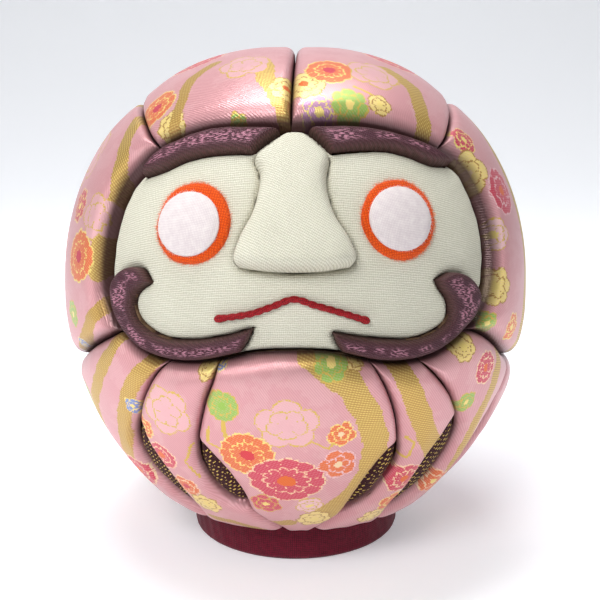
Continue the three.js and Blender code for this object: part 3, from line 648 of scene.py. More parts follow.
# %% Outlines on the face
NOSE_PATCH = dict(
    west=line([
        [-13.9, 19.5], [-15, 21], [-14, 26], [-11.6, 31], [-10.6, 36], [-10.8, 40.5],
        [-13.2, 44.4], [-9.8, 48], [-4.8, 51.5],
    ]),
    east=line([
        [13.7, 19.6], [15, 21.2], [13.8, 25.5], [10.9, 30.5], [9.5, 35.5], [9.6, 40],
        [11.2, 44.8], [8.4, 48.4], [4.2, 51.8],
    ]),
    foot=line([[-13.9, 19.5], [-6, 18.9], [6, 18.9], [13.7, 19.6]]),
    head=line([[-4.8, 51.5], [0, 52], [4.2, 51.8]]),
)
TRIM_PATCHES = {
    "brow_left": dict(
        west=line([[-51, 36.6], [-43.2, 39.4], [-36.4, 42.7], [-29, 44.7], [-20.5, 45.8], [-14.2, 46]]),
        east=line([[-51, 36.6], [-49.4, 42], [-41, 47.4], [-31.5, 50.9], [-18, 52.3], [-5.4, 52.4]]),
        foot=point([-51, 36.6]), head=line([[-14.2, 46], [-10.8, 48.8], [-5.4, 52.4]])),
    "brow_right": dict(
        west=line([[55.3, 39], [51.4, 42.8], [44.4, 46.5], [35, 49.8], [22, 52.2], [4.9, 52.6]]),
        east=line([[55.3, 39], [47, 40.6], [39.9, 43.5], [32, 45.8], [22, 46.4], [12, 46.1]]),
        foot=point([55.3, 39]), head=line([[4.9, 52.6], [9, 49.4], [12, 46.1]])),
    "moustache_left": dict(
        west=line([
            [-37.6, 13.6], [-41, 16.4], [-46.4, 15.6], [-50.8, 11.6], [-50.6, 6.6], [-46.8, 2],
            [-41, -1.4], [-33, -2.8], [-23.5, -2.2], [-12.6, 0.6],
        ]),
        east=line([
            [-37.6, 13.6], [-40.2, 12.1], [-42.3, 9.9], [-42.7, 7.5], [-41.4, 4.9], [-38.1, 2.9],
            [-33, 1.6], [-26, 2], [-17.5, 3.8], [-9.8, 6.3],
        ]),
        foot=point([-37.6, 13.6]), head=line([[-12.6, 0.6], [-11, 3.4], [-9.8, 6.1]])),
    "moustache_right": dict(
        west=line([
            [36.6, 14.6], [37.8, 12.2], [39.8, 9.6], [40.3, 6.7], [39.4, 4.5], [36, 2.8],
            [30, 1.8], [22.8, 2.6], [15.5, 3.9], [8.9, 5.4],
        ]),
        east=line([
            [36.6, 14.6], [41.6, 15.5], [47.4, 13.4], [51.4, 8.6], [49.4, 4.6], [44.4, 1.6],
            [37.6, -1.2], [30, -2.4], [21, -1.9], [11, 0.7],
        ]),
        foot=point([36.6, 14.6]), head=line([[8.9, 5.2], [9.6, 3], [11, 0.7]])),
}
FACE_MIDDLE = [0, 25]


def outline_of(patch):
    """The closed outline of a patch on the face's flat chart."""
    loop = np.vstack([patch["west"][::4], patch["head"][::8], patch["east"][::-4], patch["foot"][::-8]])
    return flat_chart(loop, FACE_MIDDLE)


def inside(points, loop):
    """Even-odd rule: a point is inside where a ray to +x crosses the loop an odd number of times."""
    x, y = points[..., 0, None], points[..., 1, None]
    x0, y0 = loop.T
    x1, y1 = np.roll(loop, -1, axis=0).T
    rise = np.where(np.abs(y1 - y0) < 1e-9, 1e-9, y1 - y0)
    crossed = ((y0 > y) != (y1 > y)) & (x < x0 + (y - y0) * (x1 - x0) / rise)
    return crossed.sum(-1) % 2 == 1


# %% Face cloth
FACE_PATCH = dict(
    west=cheek_line_left[::-1],
    east=cheek_line_right[::-1],
    foot=parallel(neck_latitude, JAW_LEFT[0], JAW_RIGHT[0]),
    head=chain(brow_line_left, brow_line_right),
)
GROOVE_FLOOR = -4.2
GROOVE_ROLL = 1.1
CHEEK_EDGE = (2.4, 2.2, 2.0)
JAW_EDGE = (1.6, 3.4, 2.0)
FOREHEAD_EDGE = (2.0, 2.0, 2.0)
face_edges = dict(west=CHEEK_EDGE, east=CHEEK_EDGE, foot=JAW_EDGE, head=FOREHEAD_EDGE)
face_points, face_directions, face_nearest = raise_panel(
    FACE_PATCH, face_edges, top=FACE_LEVEL, puff=0.5, spacing=0.42, seed=300, ripple=0.12
)
face_chart = flat_chart(face_directions, FACE_MIDDLE)
groove = np.zeros(face_nearest.shape)
covered = np.zeros(face_nearest.shape, bool)
for patch in [NOSE_PATCH, *TRIM_PATCHES.values()]:
    loop = outline_of(patch)
    distance = near_edge(face_chart, np.vstack([loop, loop[:1]]))
    within = inside(face_chart, loop)
    covered |= within
    distance = np.where(within, 0.0, distance)
    groove = np.maximum(groove, 1 - rolled(distance, GROOVE_ROLL, 2.0))
    face_nearest = np.minimum(face_nearest, distance)
face_rise = from_centre(face_points) - from_centre(off_skin(face_directions, 0))
face_rise = face_rise + (GROOVE_FLOOR - FACE_LEVEL) * groove
face_points = off_skin(face_directions, face_rise)
# How deep below the skin the painted groove shade of the face and nose starts, and the depth it takes.
FACE_GROOVE_SHADE_DEPTHS = (-FACE_LEVEL + 0.6, 1.6)
face_grid = (face_points, face_directions, face_nearest)
stretched_cloth(
    "face_cover", face_grid, FACE_MIDDLE, FACE_GROOVE_SHADE_DEPTHS, cut_out=covered, name="face_cloth"
)

# %% [markdown]
# The nose is a wedge of wadding under its own cloth: high and broad at the tip, low and narrow
# between the brows. It could be modelled by hand, but a crest that runs down the middle and
# falls off to both sides is the whole shape, so its height is one formula in the patch's own
# two directions.

# %% Nose cloth
NOSE_TIP = 7.4
NOSE_BRIDGE = 1.4
SIDE_FALL = 0.45
NOSE_RADII = {"west": 2.0, "east": 2.0, "foot": 2.0, "head": 1.6}
NOSE_POWER = 2.3


def nose_top(s, t):
    """Crest = from the tip at t = 0 to the bridge at t = 1, along t to the power 0.8. It falls off
    to both sides by a share of itself times the distance from the middle, to the power 3.5."""
    crest = NOSE_BRIDGE + (NOSE_TIP - NOSE_BRIDGE) * (1 - t**0.8)
    across = np.abs(2 * s - 1)
    return FACE_LEVEL + crest * (1 - SIDE_FALL * across**3.5)


def nose_grid():
    """The nose's height, less a roll at each edge that goes all the way down to the groove."""
    s, t, directions = panel_grid(NOSE_PATCH, 0.3)
    skin = off_skin(directions, 0)
    nearest = {name: near_edge(skin, off_skin(edge, 0)) for name, edge in NOSE_PATCH.items()}
    top = nose_top(s, t)
    depth = top - GROOVE_FLOOR
    drops = [1 - rolled(nearest[name], radius, NOSE_POWER) for name, radius in NOSE_RADII.items()]
    left = sum(drop**4 for drop in drops) ** 0.25
    rise = top + 0.08 * ripples(skin, 6.0, 310) - depth * np.minimum(left, 1)
    least = np.minimum.reduce(list(nearest.values()))
    return off_skin(directions, rise), directions, least


stretched_cloth("nose_cover", nose_grid(), FACE_MIDDLE, FACE_GROOVE_SHADE_DEPTHS, name="nose_cloth")

# %% [markdown]
# The brows and the two halves of the moustache are narrow plum cloths that stand up from the
# face. They start in a point, so the foot of each grid is cut by a hair's breadth, and their
# sides go nearly straight down into the same groove that the face cloth goes into.

# %% Brow and moustache cloths
TRIM_TOP = FACE_LEVEL + 2.1
TRIM_EDGE = (1.2, TRIM_TOP - GROOVE_FLOOR, 3.0)
POINTED_FOOT = (0.008, 0.0)
for seed, (node, patch) in enumerate(TRIM_PATCHES.items()):
    edges = {"west": TRIM_EDGE, "east": TRIM_EDGE, "head": TRIM_EDGE}
    grid = raise_panel(
        patch, edges, top=TRIM_TOP, puff=0.3, spacing=0.3, seed=320 + seed, cut=POINTED_FOOT, ripple=0.14
    )
    stretched_cloth(node, grid, FACE_MIDDLE, tucked=(1.8, 2.0))
print("face cloths:", flat_sizes["face_cloth"], flat_sizes["nose_cloth"])

# %% [markdown]
# ## The eyes
# Each eye is an orange felt pad with a white crepe round on it. Both are cut with scissors, so
# their outlines wander a little, and both fray. They are made as rings of points that run
# from the middle of the top, over a rounded rim, and back to the middle of the underside.


# %% Eye pads
TOP_ROWS = 14
RIM_ROWS = 7
RIM_SHARE = 0.9
PAD_TURNS = 144


def pad_rings(place, shift, radii, heights, crown, seed, wobble):
    """Rings round a place on the skin. Radius = the ellipse times a slow wobble; the profile is
    a low dome, a quarter-round rim and a flat underside."""
    low, high = heights
    middle = unit(globe(place))
    east = unit(np.cross([0.0, 0.0, 1.0], middle))
    north = np.cross(middle, east)
    turn = np.linspace(0, 2 * math.pi, PAD_TURNS, endpoint=False)
    rng = np.random.default_rng(seed)
    wander = sum(rng.normal() * np.sin(k * turn + rng.uniform(0, 6.3)) / k for k in range(2, 9))
    outline = 1 + wobble * wander
    top_share = np.linspace(0.02, RIM_SHARE, TOP_ROWS)
    bend = np.linspace(0, math.pi / 2, RIM_ROWS + 1)[1:]
    rim_shade_share = RIM_SHARE + (1 - RIM_SHARE) * np.sin(bend)
    share = np.concatenate([top_share, rim_shade_share, [1.0, 0.98, 0.6, 0.05]])
    dome = high + crown * (1 - top_share**2)
    edge = high - 0.55 * (high - low) * (1 - np.cos(bend))
    height = np.concatenate([dome, edge, [low + 0.15 * (high - low), low, low, low]])
    reach = from_centre(off_skin(middle, 0))
    x = (share[:, None] * outline * radii[0] * np.cos(turn) + shift[0]) / reach
    y = (share[:, None] * outline * radii[1] * np.sin(turn) + shift[1]) / reach
    directions = middle + x[..., None] * east + y[..., None] * north
    uv = np.stack([x * reach, y * reach], -1)
    return off_skin(directions, np.broadcast_to(height[:, None], x.shape)), uv


# %% [markdown]
# Felt and crepe fray where they are cut, which softens their outline. A particle system could
# grow the hairs, but it leaves no mesh to keep. So each hair is a thin closed mesh of a dozen
# points, and all hairs of one pad are worked out as one array.

# %% Frayed hairs
def fibres(name, roots, outwards, upwards, length, radius, seed):
    """Many thin bent hairs at once: each is four three-cornered rings that get narrower along
    a line that leaves its root outwards and bends by a random amount."""
    rng = np.random.default_rng(seed)
    count = len(roots)
    share = np.array([0.0, 0.35, 0.7, 1.0])
    reach = length * rng.uniform(0.35, 1.0, (count, 1, 1))
    sideways = np.cross(outwards, upwards)
    lean = rng.normal(0, 0.9, (count, 1, 1)) * sideways[:, None]
    lift = rng.normal(0.1, 0.45, (count, 1, 1)) * upwards[:, None]
    way = outwards[:, None] * share[:, None] + (lean + lift) * share[:, None] ** 2
    spine = roots[:, None] + reach * way
    turn = np.linspace(0, 2 * math.pi, 3, endpoint=False)
    ring = np.cos(turn)[:, None] * sideways[:, None, None] + np.sin(turn)[:, None] * upwards[:, None, None]
    width = radius * np.array([1.0, 0.8, 0.55, 0.12])[:, None, None]
    points = spine[:, :, None] + width * ring
    quads = grid_faces(4, 3, wrap=True)
    step = 12 * np.arange(count)[:, None, None]
    sides = (quads[None] + step).reshape(-1, 4)
    ends = (np.array([[2, 1, 0], [9, 10, 11]])[None] + step).reshape(-1, 3)
    return new_object(name, points, sides.tolist() + ends.tolist())


HAIR_ROOT = 0.1


def rim_hairs(name, rings, count, length, radius, seed, draws):
    """Hairs that start a little inside the pad's rounded rim and point away from its middle,
    level with the face."""
    rows = draws.integers(TOP_ROWS, TOP_ROWS + RIM_ROWS, count)
    roots = rings[rows, draws.integers(0, rings.shape[1], count)]
    upwards = unit(roots - CENTRE)
    outwards = unit(roots - rings[0].mean(0))
    outwards = unit(outwards - (outwards * upwards).sum(-1, keepdims=True) * upwards)
    return fibres(name, roots - HAIR_ROOT * outwards, outwards, upwards, length, radius, seed)


# %% Both eyes
EYES = {
    "left": dict(place=[-25.7, 27.5], felt=(7.9, 8.0), felt_shift=(-1.5, 0.5), round_shift=(-1.85, 0.1)),
    "right": dict(place=[26.9, 28.4], felt=(7.95, 7.8), felt_shift=(1.15, 0.45), round_shift=(0.95, 0.35)),
}
FELT_HEIGHTS = (FACE_LEVEL - 0.4, FACE_LEVEL + 1.3)
ROUND_HEIGHTS = (FELT_HEIGHTS[1] + 0.05, FELT_HEIGHTS[1] + 0.7)
ROUND_RADII = (6.5, 6.1)
FELT_CROWN, FELT_WOBBLE = 0.1, 0.018
ROUND_CROWN, ROUND_WOBBLE = 0.7, 0.008
HAIRS = {"felt": (900, 0.75, 0.035), "round": (420, 0.55, 0.022)}
for seed, (side, eye) in enumerate(EYES.items()):
    place = eye["place"]
    pads = {
        "felt": pad_rings(
            place, eye["felt_shift"], eye["felt"], FELT_HEIGHTS, FELT_CROWN, 400 + seed, FELT_WOBBLE
        ),
        "round": pad_rings(
            place, eye["round_shift"], ROUND_RADII, ROUND_HEIGHTS, ROUND_CROWN, 410 + seed, ROUND_WOBBLE
        ),
    }
    draws = np.random.default_rng(420 + seed)
    for kind, (rings, chart) in pads.items():
        pad, hairs = f"eye_{kind}_{side}", f"eye_{kind}_hairs_{side}"
        pieces[pad] = closed_rings(pad, rings, chart)
        pieces[hairs] = rim_hairs(hairs, rings, *HAIRS[kind], 430 + seed, draws)
    for kind, node, slot in (("felt", "eye_backing", "eye_felt"), ("round", "eye_disc", "eye_crepe")):
        declare(f"eye_{kind}_{side}", f"{node}_{side}")
        declare(f"eye_{kind}_hairs_{side}", None)
print("eye pieces:", [name for name in pieces if name.startswith("eye")])

# %% [markdown]
# ## The mouth
# The mouth is a short red cord of two strands, glued along its line, with its ends wrapped so
# that they come out round. It could be one tube with twisted grooves in a bump, but two real
# strands give the cord its lumpy outline. A strand is a circle carried along a helix round the
# mouth's line.

# %% Mouth cord
MOUTH_PLACES = [
    [-19.2, 7.7], [-14.8, 8.6], [-10.2, 9.6], [-5.6, 11.2], [-0.3, 13], [4.8, 11.6],
    [10.5, 9.9], [14, 8.7], [17.7, 7.3],
]
MOUTH_HEIGHT = FACE_LEVEL + 0.95
STRAND_RADIUS = 0.5
STRAND_OFFSET = 0.15
STRAND_SIDES = 14
TWIST_PITCH = 3.4
TAPER = 0.6
LAY_IN = 1.2
END_RADIUS = 0.74
END_SIDES = 16
END_POINTS = 29
LEAST_END = 0.01


def cord_rings(path, up, radius, sides, angle=None, offset=0.0):
    """Rings round a path: a circle whose middle is moved off the path by a turning angle."""
    ahead = unit(np.gradient(path, axis=0))
    side = unit(np.cross(ahead, up))
    over = np.cross(side, ahead)
    if angle is not None:
        path = path + offset * (np.cos(angle)[:, None] * side + np.sin(angle)[:, None] * over)
    turn = np.linspace(0, 2 * math.pi, sides, endpoint=False)
    circle = np.cos(turn)[None, :, None] * side[:, None] + np.sin(turn)[None, :, None] * over[:, None]
    return path[:, None] + np.asarray(radius)[:, None, None] * circle


mouth_path = evenly(smooth(off_skin(globe(MOUTH_PLACES), MOUTH_HEIGHT)))
mouth_up = unit(mouth_path - CENTRE)
mouth_length = length_of(mouth_path)
share = np.linspace(0, 1, len(mouth_path))
end_distance = mouth_length * np.minimum(share, 1 - share)
round_end = np.sqrt(np.clip(1 - (1 - np.clip(end_distance / TAPER, 0, 1)) ** 2, LEAST_END, 1))
angle = 2 * math.pi * share * mouth_length / TWIST_PITCH
offset = STRAND_OFFSET * np.clip(end_distance / LAY_IN, 0.1, 1)[:, None]
for name, start in (("mouth_strand_1", 0.0), ("mouth_strand_2", math.pi)):
    rings = cord_rings(
        mouth_path, mouth_up, STRAND_RADIUS * round_end, STRAND_SIDES, angle + start, offset
    )
    around = np.broadcast_to(np.linspace(0, 2.5, STRAND_SIDES), rings.shape[:2])
    lengthways = np.broadcast_to((share * mouth_length)[:, None], rings.shape[:2])
    pieces[name] = closed_rings(name, rings, np.stack([around, lengthways], -1))
for name, part in (("mouth_end_left", slice(0, END_POINTS)), ("mouth_end_right", slice(-END_POINTS, None))):
    path = mouth_path[part]
    ball = np.sqrt(np.clip(1 - np.linspace(-1, 1, len(path)) ** 2, LEAST_END, 1))
    rings = cord_rings(path, mouth_up[part], END_RADIUS * ball, END_SIDES)
    chart = np.stack(np.meshgrid(np.linspace(0, 3, END_SIDES), np.linspace(0, 2, len(path))), -1)
    pieces[name] = closed_rings(name, rings, chart)
MOUTH_PIECES = ("mouth_strand_1", "mouth_strand_2", "mouth_end_left", "mouth_end_right")
for name in MOUTH_PIECES:
    declare(name, "mouth_cord" if name == "mouth_strand_1" else None)
print("mouth cord length in mm:", round(float(mouth_length), 1))

# %% [markdown]
# ## The foot
# A band of crimson crepe is glued round the foot and folded under it. It is a profile turned
# about the upright axis, with slow waves where the cloth was pulled round.

# %% Foot band
FOOT_RADIUS = 21.5
FOOT_TOP = 8.3
BAND_THICKNESS = 1.2
BAND_CLEARANCE = 0.3
FOLD_RADIUS = 1.1
FOLD_TOP = 1.6
SIDE_ROWS = 14
BAND_TURNS = 240
WAVE_HEIGHT = 0.10
GATHER_HEIGHT = 0.05


def foot_band_rings():
    """The band's closed profile carried round. Its lower outer edge is a quarter circle. Three
    slow sine waves and one quick one push the outer side in and out, and fade at the table."""
    low, high = 0.0, FOOT_TOP - BAND_CLEARANCE
    bend = np.linspace(-math.pi / 2, 0, 9)
    core_radius = FOOT_RADIUS - FOLD_RADIUS
    fold_r = core_radius + FOLD_RADIUS * np.cos(bend)
    fold_z = low + FOLD_RADIUS + FOLD_RADIUS * np.sin(bend)
    inner = FOOT_RADIUS - BAND_THICKNESS
    radius = np.concatenate([[core_radius], fold_r, np.full(SIDE_ROWS, FOOT_RADIUS), [inner] * 3])
    height = np.concatenate([[low], fold_z, np.linspace(FOLD_TOP, high, SIDE_ROWS), [high, high / 2, low]])
    turn = np.linspace(0, 2 * math.pi, BAND_TURNS, endpoint=False)
    fold = np.sin(3 * turn + 1) + 0.7 * np.sin(7 * turn) + 0.5 * np.sin(16 * turn + 2)
    free = (np.clip(height / 2, 0, 1) * (radius > inner + 0.5))[:, None]
    gathers = np.sin(41 * turn + height[:, None])
    r = radius[:, None] + WAVE_HEIGHT * free * fold + GATHER_HEIGHT * free * gathers
    z = np.broadcast_to(height[:, None], r.shape)
    points = np.stack([r * np.cos(turn), r * np.sin(turn), z], -1)
    return points, np.stack([np.broadcast_to(FOOT_RADIUS * turn, r.shape), z], -1)


band_points, band_uv = foot_band_rings()
rows, turns = band_points.shape[:2]
band_faces = grid_faces(rows + 1, turns, wrap=True) % (rows * turns)
pieces["foot_band_cloth"] = face_out(new_object("foot_band_cloth", band_points, band_faces.tolist(), band_uv))
declare("foot_band_cloth", "foot_band")
print("band triangles:", 2 * len(band_faces))

# %% [markdown]
# ## Finishes
# Each finish is a small graph of shader nodes. `Graph` below only shortens the writing of
# nodes: a value in a socket's place is set on it, and a socket is linked to it. What several
# finishes share is a node group: the threads of a weave, one woven blossom, and the distance
# to a woven stroke.


# %% Node helpers
class Graph:
    def __init__(self, tree):
        self.tree = tree

    def node(self, kind, inputs=None, **settings):
        made = self.tree.nodes.new(kind)
        for key, value in settings.items():
            setattr(made, key, value)
        for key, value in (inputs or {}).items():
            self.put(made.inputs[key], value)
        return made

    def put(self, socket, value):
        if isinstance(value, bpy.types.NodeSocket):
            self.tree.links.new(value, socket)
        else:
            socket.default_value = value

    def math(self, operation, first, second=0.5, third=0.5, clamp=False):
        return self.node(
            "ShaderNodeMath", {0: first, 1: second, 2: third}, operation=operation, use_clamp=clamp
        ).outputs[0]

    def vector(self, operation, first, second=(0.0, 0.0, 0.0), output=0):
        return self.node("ShaderNodeVectorMath", {0: first, 1: second}, operation=operation).outputs[output]

    def mix(self, share, first, second):
        made = self.node("ShaderNodeMix", data_type="RGBA")
        for socket, value in zip((made.inputs[0], made.inputs[6], made.inputs[7]), (share, first, second)):
            self.put(socket, value)
        return made.outputs[2]

    def step(self, value, low, high):
        """A soft step: 0 below low, 1 above high."""
        return self.node(
            "ShaderNodeMapRange", {0: value, 1: low, 2: high, 3: 0.0, 4: 1.0}, interpolation_type="SMOOTHSTEP"
        ).outputs[0]

    def noise(self, place, scale, detail=2.0, roughness=0.5):
        settings = {"Vector": place, "Scale": scale, "Detail": detail, "Roughness": roughness}
        return self.node("ShaderNodeTexNoise", settings).outputs["Fac"]

    def field(self, name):
        """A number that the mesh carries at every point."""
        return self.node("ShaderNodeAttribute", attribute_name=name).outputs["Fac"]

    def relief(self, shader, height, strength, depth):
        """Bends the shader's normal by a height, as if the threads stood up by `depth`."""
        settings = {"Height": height, "Strength": strength, "Distance": depth * MM}
        self.put(shader.inputs["Normal"], self.node("ShaderNodeBump", settings).outputs[0])

    def group(self, tree, inputs):
        made = self.tree.nodes.new("ShaderNodeGroup")
        made.node_tree = tree
        for key, value in inputs.items():
            self.put(made.inputs[key], value)
        return made.outputs


def new_group(name, inputs, outputs):
    """A node group with named sockets, and the graph to fill it with."""
    tree = bpy.data.node_groups.new(name, "ShaderNodeTree")
    for key, kind in inputs.items():
        tree.interface.new_socket(key, in_out="INPUT", socket_type="NodeSocket" + kind)
    for key, kind in outputs.items():
        tree.interface.new_socket(key, in_out="OUTPUT", socket_type="NodeSocket" + kind)
    graph = Graph(tree)
    return tree, graph, graph.node("NodeGroupInput").outputs, graph.node("NodeGroupOutput").inputs


def dye(red, green, blue):
    """A colour as the eye names it, 0 to 255 a channel, turned to the linear values of a shader."""
    share = np.array([red, green, blue]) / 255
    linear = np.where(share <= 0.04045, share / 12.92, ((share + 0.055) / 1.055) ** 2.4)
    return (*map(float, linear), 1.0)


# %% [markdown]
# The weave group lays sine waves across the cloth's own chart, so a pitch is a real distance in
# millimetres. The threads wander a little with a noise, and a second noise says how uneven the
# yarn is from place to place.

# %% Threads group
threads_tree, g, given, result = new_group(
    "threads", {"Place": "Vector", "Across": "Vector", "Pitch": "Float", "Wander": "Float"},
    {"Height": "Float", "Uneven": "Float"},
)
reach = g.vector("DOT_PRODUCT", given["Place"], given["Across"], output=1)
wander = g.math("MULTIPLY", g.math("SUBTRACT", g.noise(given["Place"], 0.9, 3.0), 0.5), given["Wander"])
turns = g.math("ADD", g.math("DIVIDE", reach, given["Pitch"]), wander)
wave = g.math("SINE", g.math("MULTIPLY", turns, 2 * math.pi))
g.put(result["Height"], g.math("MULTIPLY_ADD", wave, 0.5, 0.5))
g.put(result["Uneven"], g.noise(given["Place"], 2.2, 3.0))

# %% [markdown]
# A woven blossom is drawn with polar coordinates: petals swell where the cosine of the angle
# is large, and the outline follows the rim, an inner ring of petals and the gaps.

# %% Blossom group
blossom_tree, g, given, result = new_group(
    "blossom",
    {
        "Place": "Vector", "Middle": "Vector", "Size": "Vector", "Petals": "Float", "Turn": "Float",
        "Line": "Float", "Scallop": "Float",
    },
    {"Petal": "Float", "Outline": "Float", "Heart": "Float"},
)
offset = g.vector("DIVIDE", g.vector("SUBTRACT", given["Place"], given["Middle"]), given["Size"])
apart = g.node("ShaderNodeSeparateXYZ", {0: offset}).outputs
reach = g.vector("LENGTH", offset, output=1)
angle = g.math("ADD", g.math("ARCTAN2", apart[1], apart[0]), given["Turn"])
half_turns = g.math("MULTIPLY", angle, g.math("MULTIPLY", given["Petals"], 0.5))
swing = g.math("ABSOLUTE", g.math("COSINE", half_turns))
back_swing = g.math("ABSOLUTE", g.math("SINE", half_turns))
scallop = g.math("MULTIPLY", g.math("SUBTRACT", g.math("POWER", swing, 0.6), 1.0), given["Scallop"])
rim = g.math("ADD", scallop, 1.0)
inner_rim = g.math("MULTIPLY_ADD", g.math("POWER", back_swing, 0.6), 0.16, 0.46)
petal = g.math("LESS_THAN", reach, rim)
on_rim = g.math("LESS_THAN", g.math("ABSOLUTE", g.math("SUBTRACT", reach, rim)), given["Line"])
on_inner = g.math("LESS_THAN", g.math("ABSOLUTE", g.math("SUBTRACT", reach, inner_rim)), given["Line"])
gap = g.math("LESS_THAN", g.math("MULTIPLY", swing, reach), g.math("MULTIPLY", given["Line"], 1.1))
gap = g.math("MULTIPLY", gap, g.math("GREATER_THAN", reach, inner_rim))
inner_gap = g.math("LESS_THAN", g.math("MULTIPLY", back_swing, reach), g.math("MULTIPLY", given["Line"], 0.9))
inner_gap = g.math("MULTIPLY", inner_gap, g.math("LESS_THAN", reach, inner_rim))
inner_gap = g.math("MULTIPLY", inner_gap, g.math("GREATER_THAN", reach, 0.22))
lines = g.math("MAXIMUM", g.math("MAXIMUM", on_inner, gap), inner_gap)
lines = g.math("MULTIPLY", lines, petal)
g.put(result["Petal"], petal)
g.put(result["Outline"], g.math("MAXIMUM", lines, on_rim))
g.put(result["Heart"], g.math("LESS_THAN", reach, 0.24))

# %% [markdown]
# A woven stroke is a straight stretch with round ends. Its group gives the distance to that
# stretch; the least of several such distances draws a stem, a curl or a broad curved band.

# %% Stroke group
stroke_tree, g, given, result = new_group(
    "stroke", {"Place": "Vector", "Start": "Vector", "Stretch": "Vector"}, {"Distance": "Float"}
)
offset = g.vector("SUBTRACT", given["Place"], given["Start"])
square = g.vector("DOT_PRODUCT", given["Stretch"], given["Stretch"], output=1)
share = g.math("DIVIDE", g.vector("DOT_PRODUCT", offset, given["Stretch"], output=1), square, clamp=True)
scaled = g.node("ShaderNodeVectorMath", {0: given["Stretch"], "Scale": share}, operation="SCALE").outputs[0]
g.put(result["Distance"], g.vector("LENGTH", g.vector("SUBTRACT", offset, scaled), output=1))
print("node groups:", [tree.name for tree in bpy.data.node_groups])

# %% [markdown]
# ## Brocade
# The brocade is a pink satin with pictures woven in: broad gold bands, blossoms, stems. A
# picture could be painted on an image, but drawn with groups it stays sharp at any distance
# and follows each cloth's own chart. The places it is drawn at are first moved to the nearest
# thread, so its edges go up in small steps as woven ones do. Gold threads are a little rougher
# and more metallic than the satin.

# %% Dyes
PINK_SATIN = dye(219, 162, 165)
PINK_LIGHT = dye(234, 192, 193)
PINK_DEEP = dye(178, 114, 120)
GOLD = dye(212, 176, 84)
GOLD_PALE = dye(238, 214, 128)
GOLD_BROWN = dye(182, 140, 76)
CORAL = dye(206, 58, 82)
ORANGE = dye(224, 108, 42)
GREEN = dye(148, 186, 80)
BLUE = dye(112, 140, 196)
LILAC = dye(190, 140, 178)
CREAM = dye(238, 208, 168)
PALE_PETAL = dye(224, 172, 175)
RED_HEART = dye(214, 60, 70)
# Painted shade: the satin's colour near a rim and deep down in a groove, where shade falls.
PINK_RIM_SHADE = dye(130, 76, 82)
PINK_GROOVE_SHADE = dye(52, 26, 26)


# %% New finishes
def bare_finish(name):
    """An empty material, its graph and its shader."""
    material = bpy.data.materials.new(name)
    material.use_nodes = True
    return material, Graph(material.node_tree), material.node_tree.nodes["Principled BSDF"]


def cloth_finish(name):
    """An empty material, its graph, its shader, and the cloth's chart in millimetres."""
    material, graph, shader = bare_finish(name)
    return material, graph, shader, graph.node("ShaderNodeUVMap", uv_map="cloth").outputs[0]


def with_painted_shade(g, colour, rim_shade_share, rim_shade_colour, groove_shade_share, groove_shade_colour):
    """The colour with painted shade: a little of it near the rim, and a lot where the cloth goes down into a
    groove.
    """
    colour = g.mix(g.math("MULTIPLY", g.field("rim"), rim_shade_share), colour, rim_shade_colour)
    return g.mix(g.math("MULTIPLY", g.field("groove_shade"), groove_shade_share), colour, groove_shade_colour)


def on_chart(place, middle):
    x, y = flat_chart(globe(place), middle)
    return (float(x), float(y), 0.0)


def stroke_distance(g, place, spots):
    """The least distance to the stretches between one spot and the next."""
    least = None
    for start, end in zip(spots[:-1], spots[1:]):
        stretch = tuple(b - a for a, b in zip(start, end))
        distance = g.group(stroke_tree, {"Place": place, "Start": start, "Stretch": stretch})["Distance"]
        least = distance if least is None else g.math("MINIMUM", least, distance)
    return least


# %% [markdown]
# Three kinds of picture are laid over the ground one after another. Each takes the colour and
# the share of gold so far and hands both on: a band is woven in gold threads, a stem is a narrow
# line in one dye, and a blossom covers the gold below it.

# %% Bands, stems and blossoms
ROUND_PETALS = 9
DEEP_SCALLOP, SHALLOW_SCALLOP = 0.24, 0.09
LINE_WIDTH = 0.13


def along_spots(g, weave, spots, width):
    """1 within half the width of the line through the spots, else 0."""
    chart_spots = [on_chart(spot, weave["middle"]) for spot in spots]
    return g.math("LESS_THAN", stroke_distance(g, weave["place"], chart_spots), width / 2)


def lay_band(g, weave, colour, metal, spots, width, brown):
    mask = along_spots(g, weave, spots, width)
    colour = g.mix(mask, colour, g.mix(brown, weave["gold_colour"], GOLD_BROWN))
    return colour, g.math("MAXIMUM", metal, mask)


def lay_stem(g, weave, colour, metal, spots, width, dyed):
    return g.mix(along_spots(g, weave, spots, width), colour, dyed), metal


def lay_blossom(g, weave, colour, metal, spot, size, petals, turn, dyed, line_dye, heart_dye):
    drawn = g.group(blossom_tree, {
        "Place": weave["place"], "Middle": on_chart(spot, weave["middle"]), "Size": (*size, 1.0),
        "Petals": float(petals), "Turn": turn, "Line": LINE_WIDTH / size[0] + 0.012,
        "Scallop": DEEP_SCALLOP if petals < ROUND_PETALS else SHALLOW_SCALLOP,
    })
    shaded = g.mix(g.math("MULTIPLY", weave["gold"], 0.28), dyed, PINK_LIGHT)
    colour = g.mix(drawn["Petal"], colour, shaded)
    colour = g.mix(g.math("MULTIPLY", drawn["Outline"], weave["stitch"]), colour, line_dye)
    colour = g.mix(drawn["Heart"], colour, heart_dye)
    return colour, g.math("MULTIPLY", metal, g.math("SUBTRACT", 1.0, drawn["Petal"]))


# %% [markdown]
# The ground is a satin, whose fine threads run aslant, with a faint damask of paler patches.
# The gold is a heavier weave over it, with threads both ways.

# %% Brocade finish
SATIN_PITCH = 0.42
GOLD_PITCH = 0.46
TWILL_PITCH = 0.6
THREAD_STEP = (0.34, 0.22, 1.0)
WOBBLE = (1.3, 1.3, 0.0)
SATIN_ROUGHNESS = 0.24
SATIN_METAL = 0.35


def satin_ground(g, place, satin, seed):
    """Pink, paler in the damask's patches and deeper along each thread."""
    moved = g.vector("ADD", place, (17.0 * seed, 9.0 * seed, 0.0))
    damask = g.step(g.noise(moved, 0.16, 3.0, 0.6), 0.5, 0.56)
    colour = g.mix(g.math("MULTIPLY", damask, 0.22), PINK_SATIN, PINK_LIGHT)
    return g.mix(g.math("MULTIPLY", satin["Height"], 0.32), colour, PINK_DEEP)


